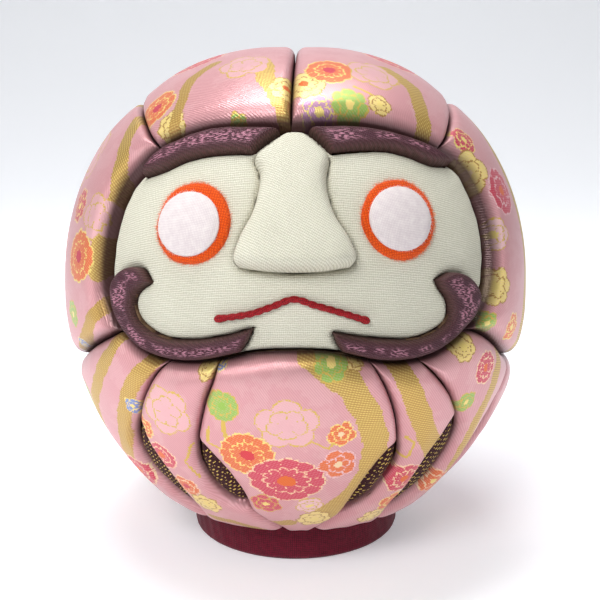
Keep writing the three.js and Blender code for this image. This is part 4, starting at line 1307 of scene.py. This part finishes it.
def picture_weave(g, place, middle):
    """What the pictures need: the place moved to the nearest thread, the gold's threads and
    colour, and the stitches, which break up the outlines."""
    wobble = g.node("ShaderNodeTexNoise", {"Vector": place, "Scale": 0.35, "Detail": 4.0}).outputs["Color"]
    wobble = g.vector("MULTIPLY", g.vector("SUBTRACT", wobble, (0.5, 0.5, 0.5)), WOBBLE)
    woven = g.vector("SNAP", g.vector("ADD", place, wobble), THREAD_STEP)
    gold = g.group(threads_tree, {
        "Place": place, "Across": (0.35, 0.94, 0.0), "Pitch": GOLD_PITCH, "Wander": 0.4,
    })
    twill = g.group(threads_tree, {
        "Place": place, "Across": (0.94, -0.35, 0.0), "Pitch": TWILL_PITCH, "Wander": 0.5,
    })
    gold_mix = g.math("MULTIPLY", gold["Height"], g.math("MULTIPLY_ADD", twill["Height"], 0.6, 0.4))
    gold_colour = g.mix(gold_mix, GOLD_BROWN, GOLD_PALE)
    stitch = g.step(g.noise(g.vector("MULTIPLY", place, (1.0, 2.2, 1.0)), 1.7, 1.0), 0.38, 0.46)
    return dict(place=woven, middle=middle, gold=gold_mix, gold_colour=gold_colour, stitch=stitch)


def brocade(name, pictures, middle, seed):
    """Satin ground, then each woven picture laid over what is there already."""
    material, g, shader, place = cloth_finish(name)
    satin = g.group(threads_tree, {
        "Place": place, "Across": (0.8, 0.6, 0.0), "Pitch": SATIN_PITCH, "Wander": 0.25,
    })
    colour, metal = satin_ground(g, place, satin, seed), 0.0
    weave = picture_weave(g, place, middle)
    for lay, *parts in pictures:
        colour, metal = lay(g, weave, colour, metal, *parts)
    # Painted shade: a little darker towards the rims, much darker down in the grooves.
    g.put(shader.inputs["Base Color"], with_painted_shade(g, colour, 0.3, PINK_RIM_SHADE, 0.92, PINK_GROOVE_SHADE))
    uneven = g.math("MULTIPLY_ADD", satin["Uneven"], 0.2, SATIN_ROUGHNESS)
    g.put(shader.inputs["Roughness"], g.math("MULTIPLY_ADD", metal, 0.08, uneven))
    g.put(shader.inputs["Metallic"], g.math("MULTIPLY_ADD", metal, 0.25, SATIN_METAL))
    slub = g.noise(place, 1.6, 3.0, 0.6)
    height = g.math("MULTIPLY_ADD", satin["Height"], 0.35, g.math("MULTIPLY", slub, 0.8))
    g.relief(shader, height, 0.6, 0.12)
    return material


# %% [markdown]
# Every cloth was cut from another part of the roll, so each has its own pictures. Places are
# longitude and latitude on the globe, sizes are millimetres. The cloths at the back get a
# scatter of the same blossoms from a seeded random draw.

# %% Pictures woven in each cloth
def bloom(lon, lat, size, petals, dyed, line_dye=GOLD, heart_dye=GOLD_PALE, turn=0.3, squash=1.0):
    return (lay_blossom, [lon, lat], (size, size * squash), petals, turn, dyed, line_dye, heart_dye)


def band(places, width, brown=0.15):
    return (lay_band, places, width, brown)


def stem(places, width=0.6, dyed=GOLD):
    return (lay_stem, places, width, dyed)


PICTURES = {
    "robe_front": [
        band([[3, 1], [7, -2], [12, -5.5], [16.5, -12], [19.5, -19], [20, -28], [16.5, -36], [9, -43]], 5.4),
        band([[-24, -47], [-12, -49], [-2, -47]], 2.6, 0.4),
        bloom(8, -1, 3.8, 7, GREEN, GOLD, GOLD_PALE, 0.2),
        bloom(14, -1.5, 1.8, 5, GOLD_PALE, GOLD_BROWN),
        bloom(-18, -2, 1.6, 5, BLUE, GOLD_PALE),
        stem([[-17, -13], [-17, -17], [-15, -20]], 1.0),
        stem([[-21, -16], [-22, -20], [-19, -21]], 0.5),
        bloom(-17, -10.5, 3.3, 12, GREEN, GOLD, GREEN),
        stem([[-4, -18], [-2, -10]], 0.5),
        bloom(-2, -14, 6.3, 5, PALE_PETAL, GOLD, PALE_PETAL, 0.9, 0.85),
        bloom(-12, -22, 5.3, 14, ORANGE, GOLD_PALE, RED_HEART),
        bloom(-2.5, -29, 7.4, 12, CORAL, CREAM, ORANGE, 0.1, 0.8),
        stem([[4, -18], [8, -20], [10, -17]], 0.5),
        bloom(10.5, -16.5, 2.8, 5, ORANGE, GOLD_PALE, CREAM),
        bloom(10.5, -24.5, 3.6, 5, ORANGE, PINK_LIGHT, CREAM, 0.6),
        bloom(-9, -38, 3.0, 6, CORAL, GOLD),
        bloom(4, -38, 2.6, 5, PINK_LIGHT, GOLD),
        bloom(6, -45, 3.4, 7, GOLD_PALE, GOLD_BROWN),
    ],
    "robe_left_1": [
        bloom(-20, -3, 2.8, 7, GOLD_PALE, GOLD_BROWN),
        bloom(-32, -14, 5.4, 5, PALE_PETAL, GOLD, PALE_PETAL, 0.5),
        bloom(-41, -20, 2.6, 6, ORANGE, GOLD_PALE),
        bloom(-38, -27, 3.4, 10, CORAL, CREAM, ORANGE),
        bloom(-34, -36, 3.0, 6, ORANGE, CREAM, CORAL),
        bloom(-30, -42, 3.2, 7, GOLD_PALE, GOLD_BROWN),
        stem([[-27, -22], [-30, -27], [-28, -32]], 0.5),
        band([[-14, -54], [-24, -50], [-33, -50]], 2.4, 0.4),
    ],
    "robe_left_2": [
        band([[-46, 2], [-49, -4], [-56, -12], [-62, -18], [-66, -26]], 3.4, 0.3),
        band([[-33, -1], [-37, -5], [-43, -11], [-49, -20], [-57, -32]], 3.6, 0.35),
        bloom(-43.5, -15.5, 2.0, 5, BLUE, GOLD_PALE),
        bloom(-58, -38, 4.2, 10, CORAL, CREAM, ORANGE),
        bloom(-70, -20, 3.6, 6, GREEN, GOLD),
    ],
    "robe_right_1": [
        band([[22, 2], [25, -4], [29, -12], [34, -20], [40, -27], [46, -34]], 4.6, 0.3),
        stem([[28, -20], [31, -22], [30, -26], [27, -26]], 0.6),
        bloom(32, -33, 3.9, 10, CORAL, CREAM, ORANGE),
        bloom(33, -42, 3.3, 6, ORANGE, GOLD_PALE, CORAL),
        bloom(28, -48, 2.8, 7, GOLD_PALE, GOLD_BROWN),
    ],
    "robe_right_2": [
        bloom(43, -2, 3.0, 7, GOLD_PALE, GOLD_BROWN),
        bloom(51, -8, 3.4, 10, CORAL, CREAM, ORANGE),
        band([[60, -4], [57, -12], [54, -22], [54, -34], [58, -46]], 3.6, 0.35),
        bloom(46, -15, 2.4, 5, GREEN, GOLD),
        bloom(50, -40, 3.2, 6, ORANGE, CREAM),
    ],
    "hood_top_left": [
        band([[-26, 74], [-17, 67], [-9, 62], [-3, 55], [0, 50]], 3.6),
        bloom(-4, 64, 3.6, 7, GOLD_PALE, GOLD_BROWN, ORANGE),
        bloom(-22, 53, 1.9, 5, GREEN, GOLD),
        bloom(-47, 49, 3.2, 7, GOLD_PALE, GOLD_BROWN),
        bloom(-62, 52, 4.4, 10, ORANGE, GOLD_PALE, CORAL),
        band([[-70, 70], [-62, 62], [-50, 55], [-44, 46]], 2.4, 0.4),
        bloom(-40, 72, 5.0, 5, PALE_PETAL, GOLD, PALE_PETAL),
        bloom(-100, 66, 5.6, 12, CORAL, CREAM, ORANGE),
        bloom(-150, 66, 5.0, 7, GREEN, GOLD),
    ],
    "hood_top_right": [
        bloom(5, 65, 4.2, 9, GOLD_PALE, GOLD_BROWN, ORANGE),
        bloom(24, 70, 4.6, 12, ORANGE, GOLD_PALE, CORAL),
        bloom(10, 56, 3.4, 6, LILAC, GOLD_PALE),
        bloom(23, 57, 3.8, 7, GREEN, GOLD, GOLD_PALE),
        stem([[30, 62], [37, 58], [33, 54]], 0.7),
        bloom(36, 56, 2.4, 5, GOLD_PALE, GOLD_BROWN),
        band([[66, 66], [62, 58], [52, 51], [48, 46]], 3.6),
        bloom(50, 66, 5.2, 5, PALE_PETAL, GOLD, PALE_PETAL),
        bloom(100, 66, 5.6, 12, CORAL, CREAM, ORANGE),
        bloom(150, 66, 5.0, 7, GREEN, GOLD),
    ],
    "hood_side_left": [
        band([[-76, 52], [-67, 45], [-60, 38], [-57, 31], [-58, 22], [-57, 12]], 3.4),
        band([[-51, 8], [-55, 3], [-62, -4], [-70, -10]], 3.0, 0.5),
        bloom(-61, 24, 4.6, 5, PALE_PETAL, GOLD, PALE_PETAL),
        bloom(-73, 24, 3.4, 8, CORAL, GOLD_PALE),
        bloom(-65, 14, 5.2, 14, ORANGE, GOLD_PALE, CORAL),
        bloom(-68, 0, 2.8, 7, GREEN, GOLD),
        bloom(-66, -7, 1.8, 5, BLUE, GOLD_PALE),
        bloom(-84, 34, 6.0, 5, PALE_PETAL, GOLD, PALE_PETAL),
        bloom(-88, 10, 7.0, 12, CORAL, CREAM, ORANGE),
    ],
    "hood_side_right": [
        band([[100, 46], [92, 42], [85, 34], [82, 24], [80, 12], [76, 0], [72, -12]], 4.6),
        bloom(64, 42, 3.0, 6, CORAL, GOLD_PALE),
        bloom(60, 35, 4.4, 5, GOLD_PALE, GOLD_BROWN, CREAM),
        bloom(70, 28, 4.6, 10, CORAL, PINK_LIGHT, ORANGE),
        bloom(61, 20, 3.4, 5, PINK_LIGHT, GOLD),
        bloom(57, 9, 4.0, 7, GOLD_PALE, GOLD_BROWN),
        bloom(52, 1.5, 2.6, 7, GREEN, GOLD),
        bloom(64, -2, 2.8, 6, ORANGE, GOLD_PALE),
        bloom(98, 14, 7.0, 12, ORANGE, CREAM, CORAL),
    ],
}


CHANCE_DYES = [(CORAL, ORANGE), (ORANGE, CORAL), (GREEN, GOLD_PALE), (LILAC, CREAM)]


def scattered(west, east, low, high, count, seed):
    """Blossoms of chance size, kind and colour between two longitudes and two latitudes, one in
    each cell of a row so that they keep apart."""
    rng = np.random.default_rng(seed)
    found = []
    for cell in range(count):
        lon = west + (east - west) * (cell + rng.uniform(0.25, 0.75)) / count
        lat = rng.uniform(low, high)
        dyed, heart = CHANCE_DYES[rng.integers(len(CHANCE_DYES))]
        size, petals, turn = rng.uniform(3.2, 6.5), int(rng.integers(5, 14)), rng.uniform(0, 3)
        found.append(bloom(lon, lat, size, petals, dyed, CREAM, heart, turn))
    return found


BACK_PICTURES = {
    "robe_left_3": (
        [[-122, -16], [-112, -30], [-98, -42], [-84, -54]], 4.6, 0.3, (-120, -80, -48, -18, 6, 51)),
    "robe_right_3": (
        [[122, -16], [108, -24], [94, -38], [84, -54]], 4.6, 0.3, (80, 120, -48, -18, 6, 52)),
    "robe_back": (
        [[140, -14], [160, -30], [180, -40], [205, -44], [230, -54]], 4.8, 0.2,
        (135, 225, -50, -22, 10, 53)),
    "hood_side_left": (
        [[-95, 50], [-110, 30], [-118, 10], [-112, -14]], 4.8, 0.2, (-140, -95, -10, 40, 6, 54)),
    "hood_side_right": (
        [[122, 38], [118, 20], [124, 0], [140, -16]], 4.8, 0.2, (100, 142, -12, 38, 6, 55)),
    "hood_top_left": (
        [[-178, 70], [-166, 45], [-168, 20], [-178, -10]], 5.0, 0.2, (-178, -145, -10, 50, 6, 56)),
    "hood_top_right": (
        [[150, 62], [158, 40], [152, 15], [160, -12]], 5.0, 0.2, (145, 178, -10, 50, 6, 57)),
}
for node, (places, width, brown, area) in BACK_PICTURES.items():
    PICTURES[node] = PICTURES.get(node, []) + [band(places, width, brown), *scattered(*area)]


def wear(name, material):
    pieces[name].data.materials.clear()
    pieces[name].data.materials.append(material)


for seed, (node, pictures) in enumerate(PICTURES.items(), 1):
    wear(node + "_cloth", brocade(node + "_brocade", pictures, middles[node + "_cloth"], seed))
print("pictures:", {node: len(pictures) for node, pictures in PICTURES.items()})

# %% [markdown]
# ## Crepe, felt and cord
# The face is a cream crepe whose ribs run across. Crepe is a plain weave of hard-twisted
# yarn, so the ribs break up and the surface looks grainy: two thread groups at right angles,
# one much weaker, and a fine noise. The brows and the moustache are a plum crepe with a pale
# thread that shows in short strokes.


# %% Crepe finish
# Painted shade for the crepes: their colour near a rim and deep down in a groove.
CREPE_RIM_SHADE = dye(120, 104, 76)
CREPE_GROOVE_SHADE = dye(44, 28, 20)


def crepe(name, base, shade, pitch, ribs_across, strength=0.5, roughness=0.85, strokes=None):
    """Strong ribs one way, weak ones the other way, and a grain. What lies low takes the shade."""
    material, g, shader, place = cloth_finish(name)
    ribs = g.group(threads_tree, {"Place": place, "Across": ribs_across, "Pitch": pitch, "Wander": 0.9})
    weft = (ribs_across[1], -ribs_across[0], 0.0)
    cross = g.group(threads_tree, {"Place": place, "Across": weft, "Pitch": pitch * 0.8, "Wander": 1.6})
    grain = g.noise(place, 3.2, 3.0, 0.7)
    height = g.math("MULTIPLY_ADD", ribs["Height"], 0.6, g.math("MULTIPLY", cross["Height"], 0.35))
    height = g.math("MULTIPLY_ADD", grain, 0.7, height)
    colour = g.mix(g.math("MULTIPLY", g.math("SUBTRACT", 1.25, height), 0.85, clamp=True), base, shade)
    colour = g.mix(g.math("MULTIPLY", g.noise(place, 0.09, 2.0), 0.25), colour, shade)
    if strokes:
        colour = strokes(g, place, colour)
    # Painted shade: a little darker towards the rims, much darker down in the grooves.
    g.put(shader.inputs["Base Color"], with_painted_shade(g, colour, 0.25, CREPE_RIM_SHADE, 0.9, CREPE_GROOVE_SHADE))
    shader.inputs["Specular IOR Level"].default_value = 0.3
    g.put(shader.inputs["Roughness"], g.math("MULTIPLY_ADD", height, -0.1, roughness))
    g.relief(shader, height, strength, 0.24)
    return material


# %% Face, nose, brows and moustache
FACE_CREAM = dye(238, 236, 221)
FACE_SHADE = dye(170, 165, 140)
PLUM = dye(88, 40, 56)
PLUM_SHADE = dye(40, 14, 26)
PLUM_PALE = dye(204, 140, 160)


def pale_strokes(g, place, colour):
    """The pale thread shows where a stretched noise is high, in patches, away from the rims."""
    squeezed = g.vector("MULTIPLY", place, (1.0, 3.4, 0.0))
    strokes = g.step(g.noise(squeezed, 1.1, 0.0), 0.5, 0.56)
    patches = g.step(g.noise(place, 0.3, 1.0), 0.36, 0.56)
    middle = g.step(g.field("rim"), 0.30, 0.02)
    shown = g.math("MULTIPLY", g.math("MULTIPLY", strokes, patches), middle)
    return g.mix(g.math("MULTIPLY", shown, 0.75), colour, PLUM_PALE)


wear("face_cloth", crepe("face_crepe", FACE_CREAM, FACE_SHADE, 0.48, (0.0, 1.0, 0.0)))
wear("nose_cloth", crepe("nose_crepe", FACE_CREAM, FACE_SHADE, 0.42, (0.5, 0.866, 0.0)))
plum_crepe = crepe("plum_crepe", PLUM, PLUM_SHADE, 0.46, (0.3, 0.95, 0.0), 0.6, 0.62, pale_strokes)
for node in TRIM_PATCHES:
    wear(node + "_cloth", plum_crepe)

# %% [markdown]
# The dark inserts carry short gold dashes in slanting rows. A dash is a box in a cell of the
# chart: the fraction of the place along and across the row decides, and each row is moved on
# from the last by a share of a cell, so that the dashes slant.


# %% Insert finish
DASH_GOLD = dye(214, 184, 92)
INSERT_GROUND = dye(28, 8, 14)
INSERT_THREAD = dye(70, 26, 34)
ROW_PITCH = 0.72
DASH_PITCH = 1.45
ROW_SHIFT = 0.37
ROW_SHARE = 0.42
DASH_SHARE = 0.5


def insert_brocade():
    """Dash = in the row's lower share, and in its cell's first share, where a noise allows it."""
    material, g, shader, place = cloth_finish("insert_brocade")
    along_row = g.vector("DOT_PRODUCT", place, (0.80, 0.60, 0.0), output=1)
    across_row = g.vector("DOT_PRODUCT", place, (-0.60, 0.80, 0.0), output=1)
    row = g.math("DIVIDE", across_row, ROW_PITCH)
    number = g.math("FLOOR", row)
    moved = g.math("MULTIPLY_ADD", number, ROW_SHIFT, g.math("DIVIDE", along_row, DASH_PITCH))
    in_row = g.math("LESS_THAN", g.math("FRACT", row), ROW_SHARE)
    in_cell = g.math("LESS_THAN", g.math("FRACT", moved), DASH_SHARE)
    present = g.step(g.noise(place, 1.1, 1.0), 0.44, 0.5)
    dash = g.math("MULTIPLY", g.math("MULTIPLY", in_row, in_cell), present)
    threads = g.group(threads_tree, {"Place": place, "Across": (0.6, 0.8, 0.0), "Pitch": 0.4, "Wander": 0.5})
    ground = g.mix(threads["Height"], INSERT_GROUND, INSERT_THREAD)
    g.put(shader.inputs["Base Color"], g.mix(dash, ground, DASH_GOLD))
    g.put(shader.inputs["Metallic"], g.math("MULTIPLY", dash, 0.45))
    g.put(shader.inputs["Roughness"], g.math("MULTIPLY_ADD", dash, -0.25, 0.8))
    shader.inputs["Specular IOR Level"].default_value = 0.25
    height = g.math("MULTIPLY_ADD", dash, 0.8, g.math("MULTIPLY", threads["Height"], 0.4))
    g.relief(shader, height, 0.6, 0.12)
    return material


insert_finish = insert_brocade()
for name in ROBE_SEAMS:
    wear(f"insert_{name}_cloth", insert_finish)


# %% [markdown]
# Felt, the white crepe, the mouth's cord and the foot's crepe are each one dye. They share one
# finish with threads both ways and a grain, and differ in the pitch, the grain and the gloss.

# %% Felt, eye crepe, cord, foot
def plain_woven(name, base, shade, pitch, roughness, strength, grain_scale=2.6, sheen=0.0):
    """One dye with threads both ways, darker between them, and a soft change over the piece."""
    material, g, shader, place = cloth_finish(name)
    warp = g.group(threads_tree, {"Place": place, "Across": (1.0, 0.0, 0.0), "Pitch": pitch, "Wander": 0.8})
    weft = g.group(threads_tree, {"Place": place, "Across": (0.0, 1.0, 0.0), "Pitch": pitch, "Wander": 0.8})
    grain = g.noise(place, grain_scale, 4.0, 0.65)
    height = g.math("MULTIPLY_ADD", g.math("MULTIPLY", warp["Height"], weft["Height"]), 0.6, grain)
    g.put(shader.inputs["Base Color"], g.mix(g.step(height, 0.35, 1.05), shade, base))
    g.put(shader.inputs["Roughness"], g.math("MULTIPLY_ADD", grain, -0.15, roughness))
    shader.inputs["Sheen Weight"].default_value = sheen
    shader.inputs["Specular IOR Level"].default_value = 0.25
    g.relief(shader, height, strength, 0.15)
    return material


felt_finish = plain_woven("orange_felt", dye(244, 98, 8), dye(200, 60, 2), 0.5, 0.95, 0.7, 4.0, 0.15)
round_finish = plain_woven("white_crepe", dye(236, 228, 225), dye(212, 199, 201), 0.3, 0.85, 0.35, 0.6)
cord_finish = plain_woven("red_cord", dye(186, 16, 30), dye(110, 4, 14), 0.35, 0.6, 0.8)
foot_finish = plain_woven("crimson_crepe", dye(124, 0, 40), dye(72, 0, 22), 0.42, 0.8, 0.4, 1.2, 0.1)
for side in EYES:
    wear(f"eye_felt_{side}", felt_finish)
    wear(f"eye_round_{side}", round_finish)
for name in MOUTH_PIECES:
    wear(name, cord_finish)
wear("foot_band_cloth", foot_finish)


HAIR_NOISE = 900.0


def hair_finish(name, base, tip):
    """Hairs have no chart: their colour changes with a noise on their place."""
    material, g, shader = bare_finish(name)
    place = g.node("ShaderNodeTexCoord").outputs["Object"]
    g.put(shader.inputs["Base Color"], g.mix(g.noise(place, HAIR_NOISE, 1.0), base, tip))
    shader.inputs["Roughness"].default_value = 0.9
    return material


felt_hairs = hair_finish("orange_hairs", dye(224, 78, 14), dye(250, 140, 60))
round_hairs = hair_finish("white_hairs", dye(236, 222, 222), dye(252, 246, 244))
for side in EYES:
    wear(f"eye_felt_hairs_{side}", felt_hairs)
    wear(f"eye_round_hairs_{side}", round_hairs)


# %% [markdown]
# The core, the block in the foot and the sole keep their imported shapes. They only need what
# they are made of: pressed wood paste with fine flecks, and thin felt. The paste is a darker
# brown than its own tan, as painted shade where the core shows in the grooves. These read the
# place on the object, because they have no chart.

# %% Paste and felt on the imported pieces
def flecked(name, light, dark, scale, roughness):
    """Two shades of one stuff, mixed by a fine noise that also lifts the surface."""
    material, g, shader = bare_finish(name)
    place = g.node("ShaderNodeTexCoord").outputs["Object"]
    flecks = g.noise(place, scale, 5.0, 0.7)
    g.put(shader.inputs["Base Color"], g.mix(g.step(flecks, 0.35, 0.65), dark, light))
    g.put(shader.inputs["Roughness"], g.math("MULTIPLY_ADD", flecks, 0.1, roughness))
    g.relief(shader, flecks, 0.5, 0.2)
    return material


# Wood-paste brown, darkened as painted groove shade where the core shows between the cloths.
GROOVE_SHADED_PASTE = flecked("wood_paste_painted_shade", dye(120, 92, 66), dye(82, 58, 40), 500.0, 0.85)
SOLE = flecked("sole_felt", dye(120, 24, 52), dye(80, 10, 30), 1500.0, 0.9)
for node, material in (("body_core", GROOVE_SHADED_PASTE), ("foot_block", GROOVE_SHADED_PASTE), ("foot_sole", SOLE)):
    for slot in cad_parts[node].material_slots:
        slot.material = material
print("finishes:", len(bpy.data.materials))

# %% [markdown]
# ## Camera and light
# A long lens from a little above, aimed at the middle of the doll. The floor runs up into a
# wall behind without an edge, and is pale; it glows a little, less so towards the back, so that
# it stays pale under soft light. Light comes from a big soft panel above, one high at the front,
# and a weaker one at each side, so the grooves stay dark and the satin shines softly.

# %% Camera
CAMERA_DISTANCE = 310.0
CAMERA_RISE = math.radians(17.0)
AIM = Vector((0.9, 0.0, 48.6)) * MM
FOCAL_LENGTH = 90.0
SENSOR_WIDTH = 36.0
lens = bpy.data.cameras.new("camera")
lens.lens = FOCAL_LENGTH
lens.sensor_width = SENSOR_WIDTH
camera = bpy.data.objects.new("camera", lens)
away = Vector((0.0, -math.cos(CAMERA_RISE), math.sin(CAMERA_RISE)))
camera.location = AIM + away * CAMERA_DISTANCE * MM
camera.rotation_euler = (-away).to_track_quat("-Z", "Y").to_euler()
lens.clip_start = 0.01
bpy.context.scene.collection.objects.link(camera)
bpy.context.scene.camera = camera


# %% Floor
FLOOR_FRONT = -1500.0
FLOOR_BACK = 300.0
FLOOR_BEND = 300.0
WALL_HEIGHT = 1600.0
HALF_FLOOR = 2500.0
FLOOR_GLOW = 0.30
GLOW_FALL = 0.16
GLOW_FROM, GLOW_TO = 0.15, 0.62


def sweep_points():
    """The floor's profile: flat, then a quarter circle, then upright, carried sideways."""
    bend = np.linspace(0, math.pi / 2, 24)
    curve_y = FLOOR_BACK + FLOOR_BEND * np.sin(bend)
    y = np.concatenate([[FLOOR_FRONT, FLOOR_BACK], curve_y, [FLOOR_BACK + FLOOR_BEND]])
    z = np.concatenate([[0.0, 0.0], FLOOR_BEND * (1 - np.cos(bend)), [WALL_HEIGHT]])
    x = np.array([-HALF_FLOOR, HALF_FLOOR])
    return np.stack(np.broadcast_arrays(x, y[:, None], z[:, None]), -1)


sweep = sweep_points()
floor = new_object("floor", sweep, grid_faces(*sweep.shape[:2]).tolist())
floor_finish, paper, floor_shader = bare_finish("pale_paper")
floor_shader.inputs["Base Color"].default_value = dye(246, 247, 250)
floor_shader.inputs["Roughness"].default_value = 0.9
floor_shader.inputs["Emission Color"].default_value = dye(246, 248, 252)
spot = paper.node("ShaderNodeTexCoord").outputs["Object"]
depth = paper.node("ShaderNodeSeparateXYZ", {0: spot}).outputs[1]
glow = paper.math("MULTIPLY_ADD", paper.step(depth, GLOW_FROM, GLOW_TO), -GLOW_FALL, FLOOR_GLOW)
paper.put(floor_shader.inputs["Emission Strength"], glow)
floor.data.materials.append(floor_finish)


# %% Light
LIT_POINT = Vector((0, 0, 50))


def soft_panel(name, place, size, power):
    light = bpy.data.lights.new(name, "AREA")
    light.shape = "RECTANGLE"
    light.size, light.size_y = size[0] * MILLIMETRE, size[1] * MILLIMETRE
    light.energy = power
    lamp = bpy.data.objects.new(name, light)
    lamp.location = Vector(place) * MILLIMETRE
    lamp.rotation_euler = (LIT_POINT - Vector(place)).to_track_quat("-Z", "Y").to_euler()
    bpy.context.scene.collection.objects.link(lamp)


soft_panel("above", (-30, 40, 440), (280, 170), 1.35)
soft_panel("front", (-150, -400, 380), (220, 180), 1.5)
soft_panel("left", (-520, -160, 200), (240, 300), 0.5)
soft_panel("right", (520, -160, 200), (240, 300), 0.25)
world = bpy.data.worlds.new("studio")
bpy.context.scene.world = world
world.use_nodes = True
world.node_tree.nodes["Background"].inputs["Color"].default_value = dye(238, 243, 248)
world.node_tree.nodes["Background"].inputs["Strength"].default_value = 0.15
bpy.context.scene.view_settings.view_transform = "Standard"
